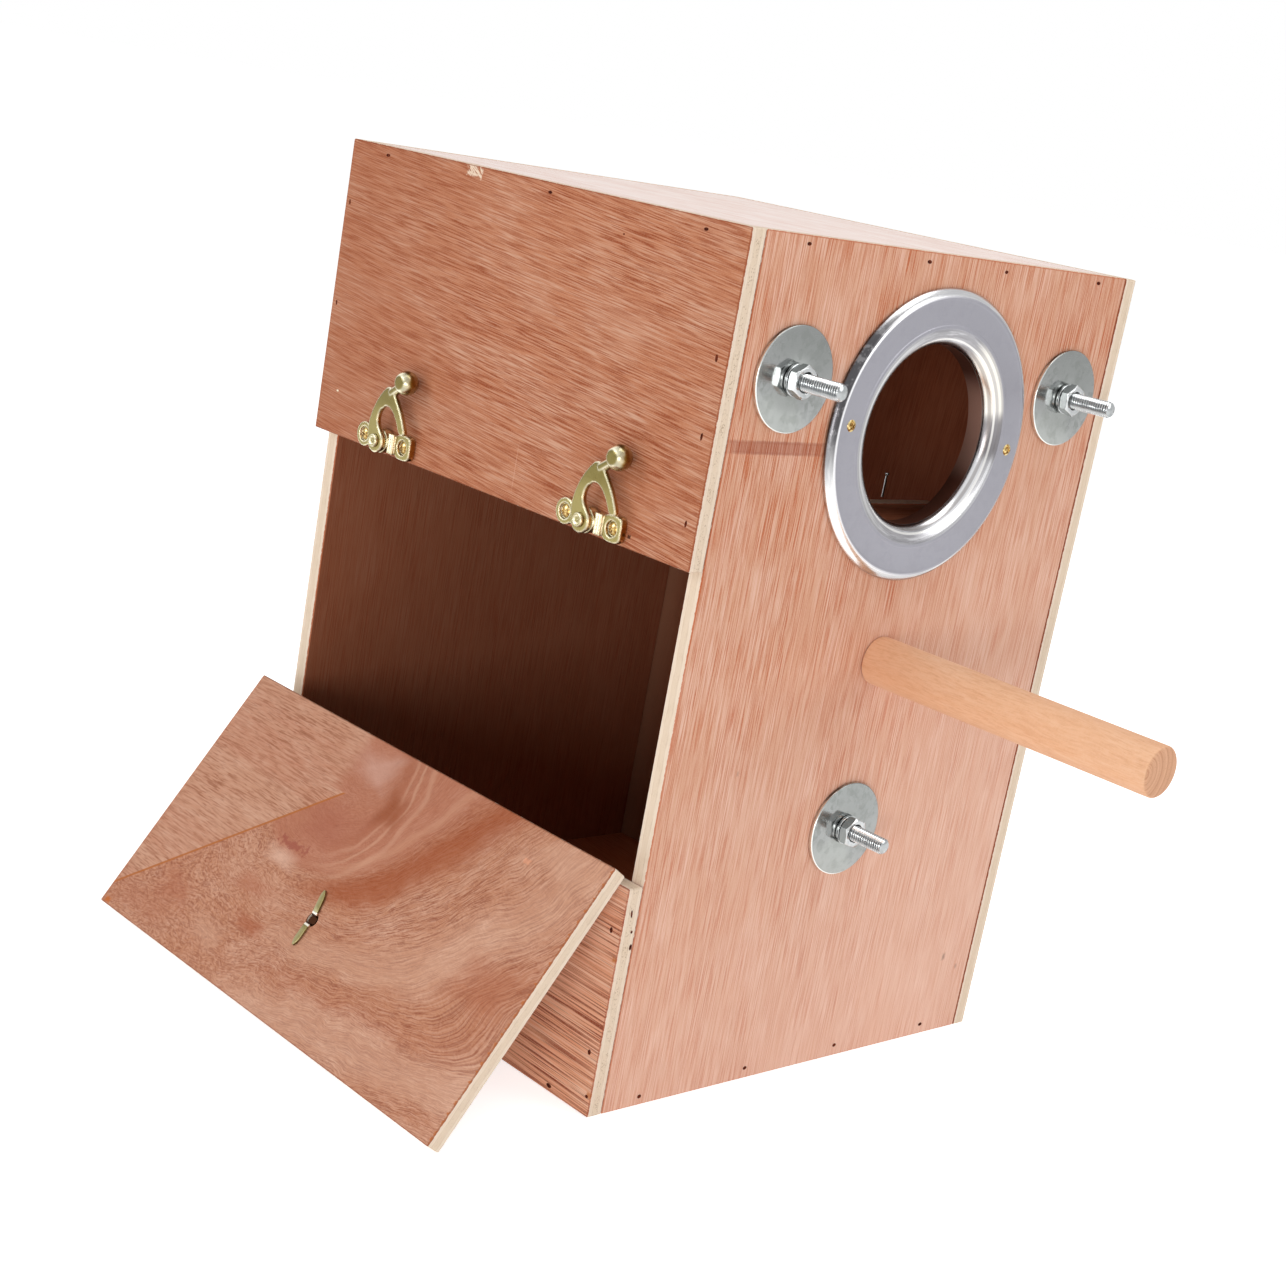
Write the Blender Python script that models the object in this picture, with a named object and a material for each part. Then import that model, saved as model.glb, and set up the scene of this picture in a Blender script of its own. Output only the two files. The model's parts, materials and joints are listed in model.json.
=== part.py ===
"""Nest box for budgerigars, of thin plywood, with a drop-down side door and a round entry hole.

Metres, +Z up. The origin is the middle of the underside. The front, with the entry hole and
the perch, faces -Y, and the door side faces -X. The door lies open, as far as the surface
that the box stands on lets it.
"""

import math

import bmesh
import bpy
from mathutils import Matrix, Vector

MM = 0.001

# Plywood box
BOX_WIDTH = 205.0 * MM
BOX_DEPTH = 210.0 * MM
BOX_HEIGHT = 300.0 * MM
PLY = 6.5 * MM
GLUE_LINE = 0.2 * MM
EDGE_BREAK = 0.4 * MM
CLEARANCE = 0.3 * MM
OVERRUN = 1.0 * MM

# Door side: a fixed panel above, a fixed panel below and the door between them. The shares
# are of the box's height.
LOWER_PANEL_SHARE = 0.278333
UPPER_PANEL_SHARE = 0.361667
DOOR_GAP_BELOW = 0.6 * MM
DOOR_GAP_ABOVE = 0.8 * MM
DOOR_REST_CLEARANCE = 0.9 * MM
DOOR_MOST_OPEN = math.radians(150.0)

# Entry hole and its pressed ring, as radii and as heights above the front face
ENTRY_BELOW_TOP = 61.5 * MM
ENTRY_BORE_RADIUS = 31.4 * MM
ENTRY_HOLE_PLAY = 1.4 * MM
COLLAR_WALL = 0.8 * MM
COLLAR_REACH = 4.0 * MM
RING_WIDTH = 19.6 * MM
RING_BEVEL_WIDTH = 3.5 * MM
RING_RISE = 3.1 * MM
RING_RIM_HEIGHT = 1.2 * MM
RING_ROLL_WIDTH = 7.0 * MM
RING_ROLL_DEPTH = 5.0 * MM
RING_TURN = math.radians(3.9)
RING_SCREW_INSET = 8.0 * MM
RING_STEPS = 48

# Perch and the screw that holds it from inside
PERCH_BELOW_RING = 20.5 * MM
PERCH_RADIUS = 8.8 * MM
PERCH_LENGTH = 120.0 * MM
PERCH_CHAMFER = 0.8 * MM
PERCH_SCREW_RADIUS = 1.9 * MM
PERCH_SCREW_LENGTH = 30.0 * MM
PERCH_SCREW_HEAD_RADIUS = 4.0 * MM
PERCH_SCREW_HEAD_HEIGHT = 2.6 * MM

# Landing step inside, under the entry hole
STEP_WIDTH = 120.0 * MM
STEP_DEPTH = 27.3 * MM
STEP_BELOW_COLLAR = 1.2 * MM
LIP_HEIGHT = 13.0 * MM
LIP_RISE = 1.3 * MM

# Mounting bolts, which clamp the front to the wires of a cage
WASHER_TO_RING = 4.0 * MM
UPPER_BOLT_RISE = 16.5 * MM
LOWER_BOLT_DROP = 36.9 * MM
BOLT_RADIUS = 2.95 * MM
BOLT_REACHES = (22.3 * MM, 22.3 * MM, 20.5 * MM)
BOLT_TIP_CHAMFER = 0.7 * MM
BOLT_HEAD_RADIUS = 6.6 * MM
BOLT_HEAD_HEIGHT = 3.3 * MM
PENNY_WASHER_RADIUS = 17.5 * MM
PENNY_WASHER_THICKNESS = 1.4 * MM
SPRING_WASHER_RADIUS = 5.4 * MM
SPRING_WASHER_THICKNESS = 1.2 * MM
SPRING_WASHER_SLIT = 0.8 * MM
NUT_ACROSS_FLATS = 10.0 * MM
NUT_HEIGHT = 3.6 * MM
NUT_CHAMFER = 0.5 * MM

# Small round-headed screws: ring, latches, catches and hinges
SCREW_SHANK_RADIUS = 1.1 * MM
SCREW_HEAD_RADIUS = 2.3 * MM
SCREW_HEAD_HEIGHT = 1.1 * MM
SCREW_BITE = 4.6 * MM
SCREW_POINT = 1.2 * MM
RECESS_WIDTH = 0.6 * MM
RECESS_LENGTH = 2.4 * MM
RECESS_DEPTH = 0.6 * MM

# Swing latches on the upper panel. Heights are above the panel's face.
LATCH_SPREAD_SHARE = 0.550476
PIVOT_RISE = 5.2 * MM
EAR_OFFSET = 12.0 * MM
EAR_RADIUS = 4.4 * MM
PLATE_THICKNESS = 2.4 * MM
PLATE_WAIST = 6.6 * MM
BOSS_RADIUS = 4.3 * MM
BOSS_HEIGHT = 4.1 * MM
RIB_COUNT = 3
RIB_START = 5.2 * MM
RIB_PITCH = 1.7 * MM
RIB_WIDTH = 1.0 * MM
RIB_LENGTH = 7.2 * MM
RIB_HEIGHT = 3.8 * MM
RIVET_RADIUS = 1.3 * MM
RIVET_HEAD_RADIUS = 2.5 * MM
RIVET_HEAD_HEIGHT = 1.2 * MM
ARM_REACH = 20.6 * MM
ARM_THICKNESS = 2.0 * MM
ARM_NECK_RADIUS = 1.7 * MM
ARM_BALL_RADIUS = 4.15 * MM
ARM_BALL_OUT = 13.5 * MM
ARM_BALL_UP = 23.9 * MM
ARM_BALL_LIFT = 0.5 * MM
ARM_OUTLINE_STEPS = 2
# The arm's outline from the pivot up its left side, over the top and down the hooked right
# leg, then back up inside the window, as shares of the reach.
ARM_OUTLINE_SHARES = (
    (-0.205, 0.010),
    (-0.238, 0.214),
    (-0.189, 0.466),
    (-0.078, 0.709),
    (0.068, 0.903),
    (0.185, 0.995),
    (0.300, 0.990),
    (0.362, 0.900),
    (0.466, 0.786),
    (0.612, 0.612),
    (0.718, 0.447),
    (0.786, 0.306),
    (0.748, 0.252),
    (0.652, 0.264),
    (0.588, 0.382),
    (0.488, 0.502),
    (0.380, 0.600),
    (0.260, 0.655),
    (0.125, 0.635),
    (0.045, 0.530),
    (0.005, 0.385),
    (0.035, 0.268),
    (0.100, 0.185),
    (0.200, 0.060),
    (0.172, -0.117),
    (0.000, -0.209),
    (-0.155, -0.136),
)

# Catches on the door, whose posts the hooked arms swing round
POST_DISTANCE = 12.0 * MM
POST_RADIUS = 1.8 * MM
POST_DOME_HEIGHT = 0.6 * MM
CATCH_EAR_RADIUS = 4.0 * MM

# Butt hinges, screwed to the outer faces of the lower panel and the door
HINGE_SPREAD_SHARE = 0.590476
HINGE_WIDTH = 25.0 * MM
HINGE_LEAF_HEIGHT = 14.0 * MM
HINGE_LEAF_THICKNESS = 1.0 * MM
HINGE_SCREW_OFFSET = 7.5 * MM
HINGE_SCREW_DROP = 8.0 * MM
KNUCKLE_RADIUS = 1.8 * MM
PIN_RADIUS = 0.9 * MM
PIN_HOLE_RADIUS = 1.15 * MM
PIN_HEAD_HEIGHT = 0.8 * MM
PIN_HEAD_RADIUS = 1.5 * MM
PIN_OFFSET = 2.1 * MM
PIN_RISE = 2.3 * MM

# Ring pull on the door, held by a split pin whose legs are bent flat on the inside
PULL_SHARE = 0.638837
PULL_RING_RADIUS = 10.5 * MM
PULL_WIRE_RADIUS = 1.2 * MM
EYE_RADIUS = 3.4 * MM
STRIP_WIDTH = 2.6 * MM
STRIP_THICKNESS = 0.9 * MM
STRIP_SPREAD = 3.3 * MM
STRIP_POINT_LENGTH = 3.0 * MM
STRIP_POINT_WIDTH = 0.7 * MM
LEG_REACH = 11.0 * MM
ROSETTE_RADIUS = 6.5 * MM
ROSETTE_THICKNESS = 1.2 * MM
PULL_HOLE_RADIUS = 2.8 * MM

# Facets of round pieces
ROUND_STEPS = 18
SMALL_ROUND_STEPS = 10
WASHER_STEPS = 32
SMOOTH_ANGLE = math.radians(35.0)

# Directions: local +Z points out of the face that a fitting sits on, and local +Y up
FRONT = Matrix(((1, 0, 0), (0, 0, -1), (0, 1, 0))).to_4x4()
DOOR_SIDE = Matrix(((0, 0, -1), (-1, 0, 0), (0, 1, 0))).to_4x4()

# Places that follow from the sizes
HALF_WIDTH = BOX_WIDTH / 2
HALF_DEPTH = BOX_DEPTH / 2
LATCH_SPREAD = BOX_DEPTH * LATCH_SPREAD_SHARE
HINGE_SPREAD = BOX_DEPTH * HINGE_SPREAD_SHARE
INNER_HALF_WIDTH = HALF_WIDTH - PLY - GLUE_LINE
INNER_HALF_DEPTH = HALF_DEPTH - PLY - GLUE_LINE
LOWER_PANEL_HEIGHT = BOX_HEIGHT * LOWER_PANEL_SHARE
UPPER_PANEL_BOTTOM = BOX_HEIGHT * (1 - UPPER_PANEL_SHARE)
ENTRY_HEIGHT = BOX_HEIGHT - ENTRY_BELOW_TOP
RING_RADIUS = ENTRY_BORE_RADIUS + RING_WIDTH
RING_SCREW_RADIUS = RING_RADIUS - RING_SCREW_INSET
PERCH_HEIGHT = ENTRY_HEIGHT - RING_RADIUS - PERCH_BELOW_RING - PERCH_RADIUS
BOLT_HALF_SPREAD = RING_RADIUS + WASHER_TO_RING + PENNY_WASHER_RADIUS
UPPER_BOLT_HEIGHT = ENTRY_HEIGHT + UPPER_BOLT_RISE
LOWER_BOLT_HEIGHT = PERCH_HEIGHT - PERCH_RADIUS - LOWER_BOLT_DROP - PENNY_WASHER_RADIUS
COLLAR_RADIUS = ENTRY_BORE_RADIUS + COLLAR_WALL
ENTRY_HOLE_RADIUS = COLLAR_RADIUS + ENTRY_HOLE_PLAY
PIN_HEIGHT = LOWER_PANEL_HEIGHT + PIN_RISE
DOOR_BOTTOM = DOOR_GAP_BELOW - PIN_RISE
DOOR_TOP = UPPER_PANEL_BOTTOM - DOOR_GAP_ABOVE - PIN_HEIGHT
DOOR_FACE = -PIN_OFFSET
ARM_BOTTOM = BOSS_HEIGHT + GLUE_LINE + CLEARANCE
ARM_TOP = ARM_BOTTOM + ARM_THICKNESS


def door_open_angle():
    """The turn that brings the door's outer free edge down to the surface below the box."""
    edge_radius = math.hypot(DOOR_TOP, PIN_OFFSET)
    drop = min(edge_radius, PIN_HEIGHT - DOOR_REST_CLEARANCE)
    lean = math.atan2(PIN_OFFSET, DOOR_TOP)
    return min(DOOR_MOST_OPEN, lean + math.acos(-drop / edge_radius))


def make_material(name, colour, roughness, metallic=0.0):
    material = bpy.data.materials.new(name)
    material.use_nodes = True
    shader = material.node_tree.nodes["Principled BSDF"]
    shader.inputs["Base Color"].default_value = (*colour, 1.0)
    shader.inputs["Roughness"].default_value = roughness
    shader.inputs["Metallic"].default_value = metallic
    material.diffuse_color = (*colour, 1.0)
    return material


def finish(name, shape, material, frame, parent=None):
    """Makes an object of a bmesh, shades it smooth and places it in its parent's frame."""
    bmesh.ops.recalc_face_normals(shape, faces=shape.faces)
    mesh = bpy.data.meshes.new(name)
    shape.to_mesh(mesh)
    shape.free()
    mesh.shade_smooth()
    mesh.set_sharp_from_angle(angle=SMOOTH_ANGLE)
    if material:
        mesh.materials.append(material)
    item = bpy.data.objects.new(name, mesh)
    bpy.context.scene.collection.objects.link(item)
    item.parent = parent
    item.matrix_basis = frame
    return item


def helper(item):
    """A shape that only cuts or fills another."""
    item.hide_render = True
    item.display_type = "WIRE"
    return item


def combine(item, other, operation):
    step = item.modifiers.new(other.name, "BOOLEAN")
    step.operation = operation
    step.object = helper(other)


def block(low, high, middle=None):
    """A box between two corners, as a bmesh about its middle or about the given point."""
    low, high = Vector(low), Vector(high)
    middle = (low + high) / 2 if middle is None else Vector(middle)
    shape = bmesh.new()
    bmesh.ops.create_cube(shape, size=1.0)
    size = high - low
    centre = (low + high) / 2 - middle
    for vert in shape.verts:
        vert.co = Vector(a * b for a, b in zip(vert.co, size)) + centre
    return shape


def turned(profile, steps):
    """A closed outline of (radius, height) points turned round the local Z axis."""
    shape = bmesh.new()
    rings = []
    for radius, height in profile:
        if radius == 0:
            rings.append([shape.verts.new((0, 0, height))] * steps)
            continue
        turn = 2 * math.pi / steps
        rings.append(
            [
                shape.verts.new((radius * math.cos(i * turn), radius * math.sin(i * turn), height))
                for i in range(steps)
            ]
        )
    for k, ring in enumerate(rings):
        after = rings[(k + 1) % len(rings)]
        for i in range(steps):
            corners = (ring[i], ring[(i + 1) % steps], after[(i + 1) % steps], after[i])
            distinct = list(dict.fromkeys(corners))
            if len(distinct) > 2:
                shape.faces.new(distinct)
    return shape


def drum(radius, low, high, steps=ROUND_STEPS):
    return turned(((0, low), (radius, low), (radius, high), (0, high)), steps)


def rod_across(radius, half_length, steps=ROUND_STEPS):
    """A cylinder along the local X axis."""
    shape = drum(radius, -half_length, half_length, steps)
    shape.transform(Matrix.Rotation(math.pi / 2, 4, "Y"))
    return shape


def extruded(outline, low, high):
    """A flat outline in local X and Y given a thickness along Z."""
    shape = bmesh.new()
    bottom = [shape.verts.new((x, y, low)) for x, y in outline]
    top = [shape.verts.new((x, y, high)) for x, y in outline]
    shape.faces.new(bottom)
    shape.faces.new(top)
    count = len(outline)
    for i in range(count):
        after = (i + 1) % count
        shape.faces.new((bottom[i], bottom[after], top[after], top[i]))
    return shape


def added(shape, other):
    """Puts a second, separate shape into the first bmesh."""
    mesh = bpy.data.meshes.new("scrap")
    other.to_mesh(mesh)
    other.free()
    shape.from_mesh(mesh)
    bpy.data.meshes.remove(mesh)
    return shape


def moved(shape, x, y, z=0):
    shape.transform(Matrix.Translation((x, y, z)))
    return shape


def smooth_outline(points, steps):
    """A closed Catmull-Rom curve through the points."""
    curve = []
    count = len(points)
    for i in range(count):
        p0, p1, p2, p3 = (Vector(points[(i + k - 1) % count]) for k in range(4))
        for step in range(steps):
            t = step / steps
            point = p1 * 2
            point += (p2 - p0) * t
            point += (p0 * 2 - p1 * 5 + p2 * 4 - p3) * t * t
            point += (p1 * 3 - p0 - p2 * 3 + p3) * t * t * t
            curve.append(point / 2)
    return curve


def panel(name, low, high, material, parent=None):
    """A plywood board between two corners, with its edges eased."""
    middle = (Vector(low) + Vector(high)) / 2
    item = finish(name, block(low, high), material, Matrix.Translation(middle), parent)
    ease = item.modifiers.new("eased edges", "BEVEL")
    ease.width = EDGE_BREAK
    ease.segments = 1
    ease.limit_method = "ANGLE"
    return item


def pierce(item, name, holes, frame, parent=None):
    """Cuts round holes, each (x, y, radius, low, high, steps), through a piece in one frame."""
    shape = bmesh.new()
    for x, y, radius, low, high, steps in holes:
        added(shape, moved(drum(radius, low, high, steps), x, y))
    combine(item, finish(name, shape, None, frame, parent), "DIFFERENCE")


def pilot(x, y):
    """The hole in a board for a small screw's shank."""
    radius = SCREW_SHANK_RADIUS + CLEARANCE
    return (x, y, radius, -SCREW_BITE - CLEARANCE, OVERRUN, SMALL_ROUND_STEPS)


def screw_mesh():
    """A round-headed cross-recess screw whose head rests on the plane z = 0 of its mesh."""
    dome = SCREW_HEAD_HEIGHT
    profile = (
        (0, -SCREW_BITE),
        (SCREW_SHANK_RADIUS, -SCREW_BITE + SCREW_POINT),
        (SCREW_SHANK_RADIUS, 0),
        (SCREW_HEAD_RADIUS, 0),
        (SCREW_HEAD_RADIUS, dome / 3),
        (SCREW_HEAD_RADIUS * 0.7, dome * 0.85),
        (0, dome),
    )
    item = finish("screw pattern", turned(profile, SMALL_ROUND_STEPS), None, Matrix.Identity(4))
    half = RECESS_WIDTH / 2
    arm = RECESS_LENGTH / 2
    low = dome - RECESS_DEPTH
    cross = [
        (half, arm), (-half, arm), (-half, half), (-arm, half), (-arm, -half), (-half, -half),
        (-half, -arm), (half, -arm), (half, -half), (arm, -half), (arm, half), (half, half),
    ]
    combine(
        item,
        finish("recess", extruded(cross, low, dome + OVERRUN), None, Matrix.Identity(4)),
        "DIFFERENCE",
    )
    graph = bpy.context.evaluated_depsgraph_get()
    mesh = bpy.data.meshes.new_from_object(item.evaluated_get(graph))
    for used in (bpy.data.objects["recess"], item):
        bpy.data.objects.remove(used)
    return mesh


def screw(name, mesh, material, base, x, y, height, bite, turn, parent=None):
    """Copies the screw at x, y of a frame, its head on a plate `height` thick."""
    own = mesh.copy()
    for vert in own.vertices:
        if vert.co.z < -SCREW_POINT:
            vert.co.z -= bite - SCREW_BITE
    own.materials.clear()
    own.materials.append(material)
    item = bpy.data.objects.new(name, own)
    bpy.context.scene.collection.objects.link(item)
    item.parent = parent
    spot = Matrix.Translation((x, y, height + GLUE_LINE)) @ Matrix.Rotation(turn, 4, "Z")
    item.matrix_basis = base @ spot
    return item


def make_box(wood):
    """The fixed boards. The side boards lap the front and back, and the rest lies between."""
    side = HALF_WIDTH - PLY
    end = HALF_DEPTH - PLY
    front = panel(
        "front_panel",
        (-INNER_HALF_WIDTH, -HALF_DEPTH, 0),
        (INNER_HALF_WIDTH, -end, BOX_HEIGHT),
        wood["front"],
    )
    panel(
        "back_panel",
        (-INNER_HALF_WIDTH, end, 0),
        (INNER_HALF_WIDTH, HALF_DEPTH, BOX_HEIGHT),
        wood["front"],
    )
    panel(
        "closed_side_panel",
        (side, -HALF_DEPTH, 0),
        (HALF_WIDTH, HALF_DEPTH, BOX_HEIGHT),
        wood["side"],
    )
    upper = panel(
        "door_side_upper_panel",
        (-HALF_WIDTH, -HALF_DEPTH, UPPER_PANEL_BOTTOM),
        (-side, HALF_DEPTH, BOX_HEIGHT),
        wood["side"],
    )
    lower = panel(
        "door_side_lower_panel",
        (-HALF_WIDTH, -HALF_DEPTH, 0),
        (-side, HALF_DEPTH, LOWER_PANEL_HEIGHT),
        wood["side"],
    )
    for name, low in (("floor_panel", 0), ("roof_panel", BOX_HEIGHT - PLY)):
        panel(
            name,
            (-INNER_HALF_WIDTH, -INNER_HALF_DEPTH, low),
            (INNER_HALF_WIDTH, INNER_HALF_DEPTH, low + PLY),
            wood["side"],
        )
    return front, upper, lower


def bolt_places():
    half = BOLT_HALF_SPREAD
    return ((-half, UPPER_BOLT_HEIGHT), (half, UPPER_BOLT_HEIGHT), (0, LOWER_BOLT_HEIGHT))


def ring_screw_places():
    """Across the ring from each other, on a line that its turn tilts, about the ring's centre."""
    reach_x = RING_SCREW_RADIUS * math.cos(RING_TURN)
    reach_y = RING_SCREW_RADIUS * math.sin(RING_TURN)
    return (("left", -reach_x, reach_y), ("right", reach_x, -reach_y))


def pierce_front(front):
    holes = [(0, ENTRY_HEIGHT, ENTRY_HOLE_RADIUS, -PLY - OVERRUN, OVERRUN, RING_STEPS)]
    for x, z in bolt_places():
        radius = BOLT_RADIUS + CLEARANCE
        holes.append((x, z, radius, -PLY - OVERRUN, OVERRUN, ROUND_STEPS))
    radius = PERCH_SCREW_RADIUS + CLEARANCE
    holes.append((0, PERCH_HEIGHT, radius, -PLY - OVERRUN, OVERRUN, SMALL_ROUND_STEPS))
    for _, x, y in ring_screw_places():
        holes.append(pilot(x, ENTRY_HEIGHT + y))
    frame = Matrix.Translation((0, -HALF_DEPTH, 0)) @ FRONT
    pierce(front, "front holes", holes, frame)


def make_entry_ring(steel, brass, pattern):
    """The ring's flange stands proud of the board and rolls down to the rim and into the bore."""
    foot = GLUE_LINE
    top = foot + RING_RISE
    bevel = RING_RADIUS - RING_BEVEL_WIDTH
    roll = ENTRY_BORE_RADIUS + RING_ROLL_WIDTH
    middle = (RING_RIM_HEIGHT + RING_RISE) / 2
    end = -PLY - COLLAR_REACH
    profile = [
        (COLLAR_RADIUS, end),
        (COLLAR_RADIUS, -ENTRY_HOLE_PLAY),
        (COLLAR_RADIUS + ENTRY_HOLE_PLAY, foot),
        (RING_RADIUS, foot),
        (RING_RADIUS, foot + RING_RIM_HEIGHT),
        (RING_RADIUS - RING_BEVEL_WIDTH / 4, foot + middle),
        (bevel, top),
        (roll, top),
    ]
    steps = 4
    for i in range(1, steps + 1):
        angle = math.pi / 2 * i / steps
        in_by = RING_ROLL_WIDTH * math.sin(angle)
        profile.append((roll - in_by, top - RING_ROLL_DEPTH * (1 - math.cos(angle))))
    profile.append((ENTRY_BORE_RADIUS, end))
    frame = Matrix.Translation((0, -HALF_DEPTH, ENTRY_HEIGHT)) @ FRONT
    ring = finish("entry_ring", turned(profile, RING_STEPS), steel, frame)
    radius = SCREW_SHANK_RADIUS + CLEARANCE
    holes = [
        (x, y, radius, -PLY, RING_RISE + OVERRUN, SMALL_ROUND_STEPS)
        for _, x, y in ring_screw_places()
    ]
    pierce(ring, "ring screw holes", holes, frame)
    height = RING_RISE + GLUE_LINE
    for side, x, y in ring_screw_places():
        bite = height + SCREW_BITE - CLEARANCE
        screw(f"ring_screw_{side}", pattern, brass, frame, x, y, height, bite, RING_TURN)


def make_perch(dowel, steel):
    frame = Matrix.Translation((0, -HALF_DEPTH, PERCH_HEIGHT)) @ FRONT
    foot = CLEARANCE
    pilot_radius = PERCH_SCREW_RADIUS + CLEARANCE
    screw_tip = PERCH_SCREW_LENGTH - PLY - GLUE_LINE
    profile = (
        (0, screw_tip + CLEARANCE),
        (pilot_radius, screw_tip - PERCH_SCREW_RADIUS),
        (pilot_radius, foot),
        (PERCH_RADIUS, foot),
        (PERCH_RADIUS, PERCH_LENGTH - PERCH_CHAMFER),
        (PERCH_RADIUS - PERCH_CHAMFER, PERCH_LENGTH),
        (0, PERCH_LENGTH),
    )
    finish("perch_dowel", turned(profile, RING_STEPS // 2), dowel, frame)
    seat = -PLY - GLUE_LINE
    profile = (
        (0, screw_tip),
        (PERCH_SCREW_RADIUS, screw_tip - 2 * PERCH_SCREW_RADIUS),
        (PERCH_SCREW_RADIUS, seat),
        (PERCH_SCREW_HEAD_RADIUS, seat),
        (PERCH_SCREW_HEAD_RADIUS, seat - PERCH_SCREW_HEAD_HEIGHT / 3),
        (PERCH_SCREW_HEAD_RADIUS * 0.6, seat - PERCH_SCREW_HEAD_HEIGHT),
        (0, seat - PERCH_SCREW_HEAD_HEIGHT),
    )
    finish("perch_screw", turned(profile, SMALL_ROUND_STEPS), steel, frame)


def make_landing_step(wood):
    """A narrow board inside, just under the hole, with a second board along its far edge."""
    top = ENTRY_HEIGHT - COLLAR_RADIUS - STEP_BELOW_COLLAR
    near = -HALF_DEPTH + PLY + GLUE_LINE
    far = near + STEP_DEPTH
    half = STEP_WIDTH / 2
    panel("landing_step", (-half, near, top - PLY), (half, far, top), wood["front"])
    lip_top = top + LIP_RISE
    lip_near = far + GLUE_LINE
    panel(
        "landing_step_lip",
        (-half, lip_near, lip_top - LIP_HEIGHT),
        (half, lip_near + PLY, lip_top),
        wood["front"],
    )


def make_mounting_set(number, x, z, zinc):
    """One bolt with its penny washer, spring washer and nut, from the board outwards."""
    frame = Matrix.Translation((x, -HALF_DEPTH, z)) @ FRONT
    seat = -PLY - GLUE_LINE
    reach = BOLT_REACHES[number - 1]
    profile = (
        (0, reach),
        (BOLT_RADIUS - BOLT_TIP_CHAMFER, reach),
        (BOLT_RADIUS, reach - BOLT_TIP_CHAMFER),
        (BOLT_RADIUS, seat),
        (BOLT_HEAD_RADIUS, seat),
        (BOLT_HEAD_RADIUS, seat - BOLT_HEAD_HEIGHT / 4),
        (BOLT_HEAD_RADIUS * 0.75, seat - BOLT_HEAD_HEIGHT * 0.75),
        (0, seat - BOLT_HEAD_HEIGHT),
    )
    finish(f"mounting_bolt_{number}", turned(profile, ROUND_STEPS), zinc, frame)
    bore = BOLT_RADIUS + CLEARANCE
    low = GLUE_LINE
    high = low + PENNY_WASHER_THICKNESS
    profile = (
        (bore, low), (PENNY_WASHER_RADIUS, low), (PENNY_WASHER_RADIUS, high), (bore, high),
    )
    finish(f"penny_washer_{number}", turned(profile, WASHER_STEPS), zinc, frame)
    low = high + GLUE_LINE
    high = low + SPRING_WASHER_THICKNESS
    profile = (
        (bore, low), (SPRING_WASHER_RADIUS, low), (SPRING_WASHER_RADIUS, high), (bore, high),
    )
    name = f"spring_washer_{number}"
    washer = finish(name, turned(profile, ROUND_STEPS), zinc, frame)
    half = SPRING_WASHER_SLIT / 2
    corner = (0, -half, low - OVERRUN)
    opposite = (SPRING_WASHER_RADIUS + OVERRUN, half, high + OVERRUN)
    slit = finish(f"{name} slit", block(corner, opposite, (0, 0, 0)), None, frame)
    combine(washer, slit, "DIFFERENCE")
    low = high + GLUE_LINE
    high = low + NUT_HEIGHT
    corner_radius = NUT_ACROSS_FLATS / math.sqrt(3)
    neck = corner_radius - NUT_CHAMFER
    profile = (
        (0, low), (neck, low), (corner_radius, low + NUT_CHAMFER / 2),
        (corner_radius, high - NUT_CHAMFER / 2), (neck, high), (0, high),
    )
    name = f"mounting_nut_{number}"
    nut = finish(name, turned(profile, 6), zinc, frame)
    pierce(nut, f"{name} bore", [(0, 0, bore, low - OVERRUN, high + OVERRUN, ROUND_STEPS)], frame)


def plate_shape(ear_radius):
    """Two round ears and the bar between them, as three overlapping shapes."""
    low, high = GLUE_LINE, GLUE_LINE + PLATE_THICKNESS
    half = PLATE_WAIST / 2
    bar = block((-EAR_OFFSET, -half, low), (EAR_OFFSET, half, high), (0, 0, 0))
    ears = [moved(drum(ear_radius, low, high), sign * EAR_OFFSET, 0) for sign in (-1, 1)]
    return bar, ears


def fuse(name, base, others, material, frame, parent=None):
    """One solid of overlapping shapes."""
    item = finish(name, base, material, frame, parent)
    for number, shape in enumerate(others):
        combine(item, finish(f"{name} part {number}", shape, None, frame, parent), "UNION")
    return item


def ear_holes():
    radius = SCREW_SHANK_RADIUS + CLEARANCE
    high = PLATE_THICKNESS + OVERRUN
    return [(sign * EAR_OFFSET, 0, radius, -OVERRUN, high, SMALL_ROUND_STEPS) for sign in (-1, 1)]


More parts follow.
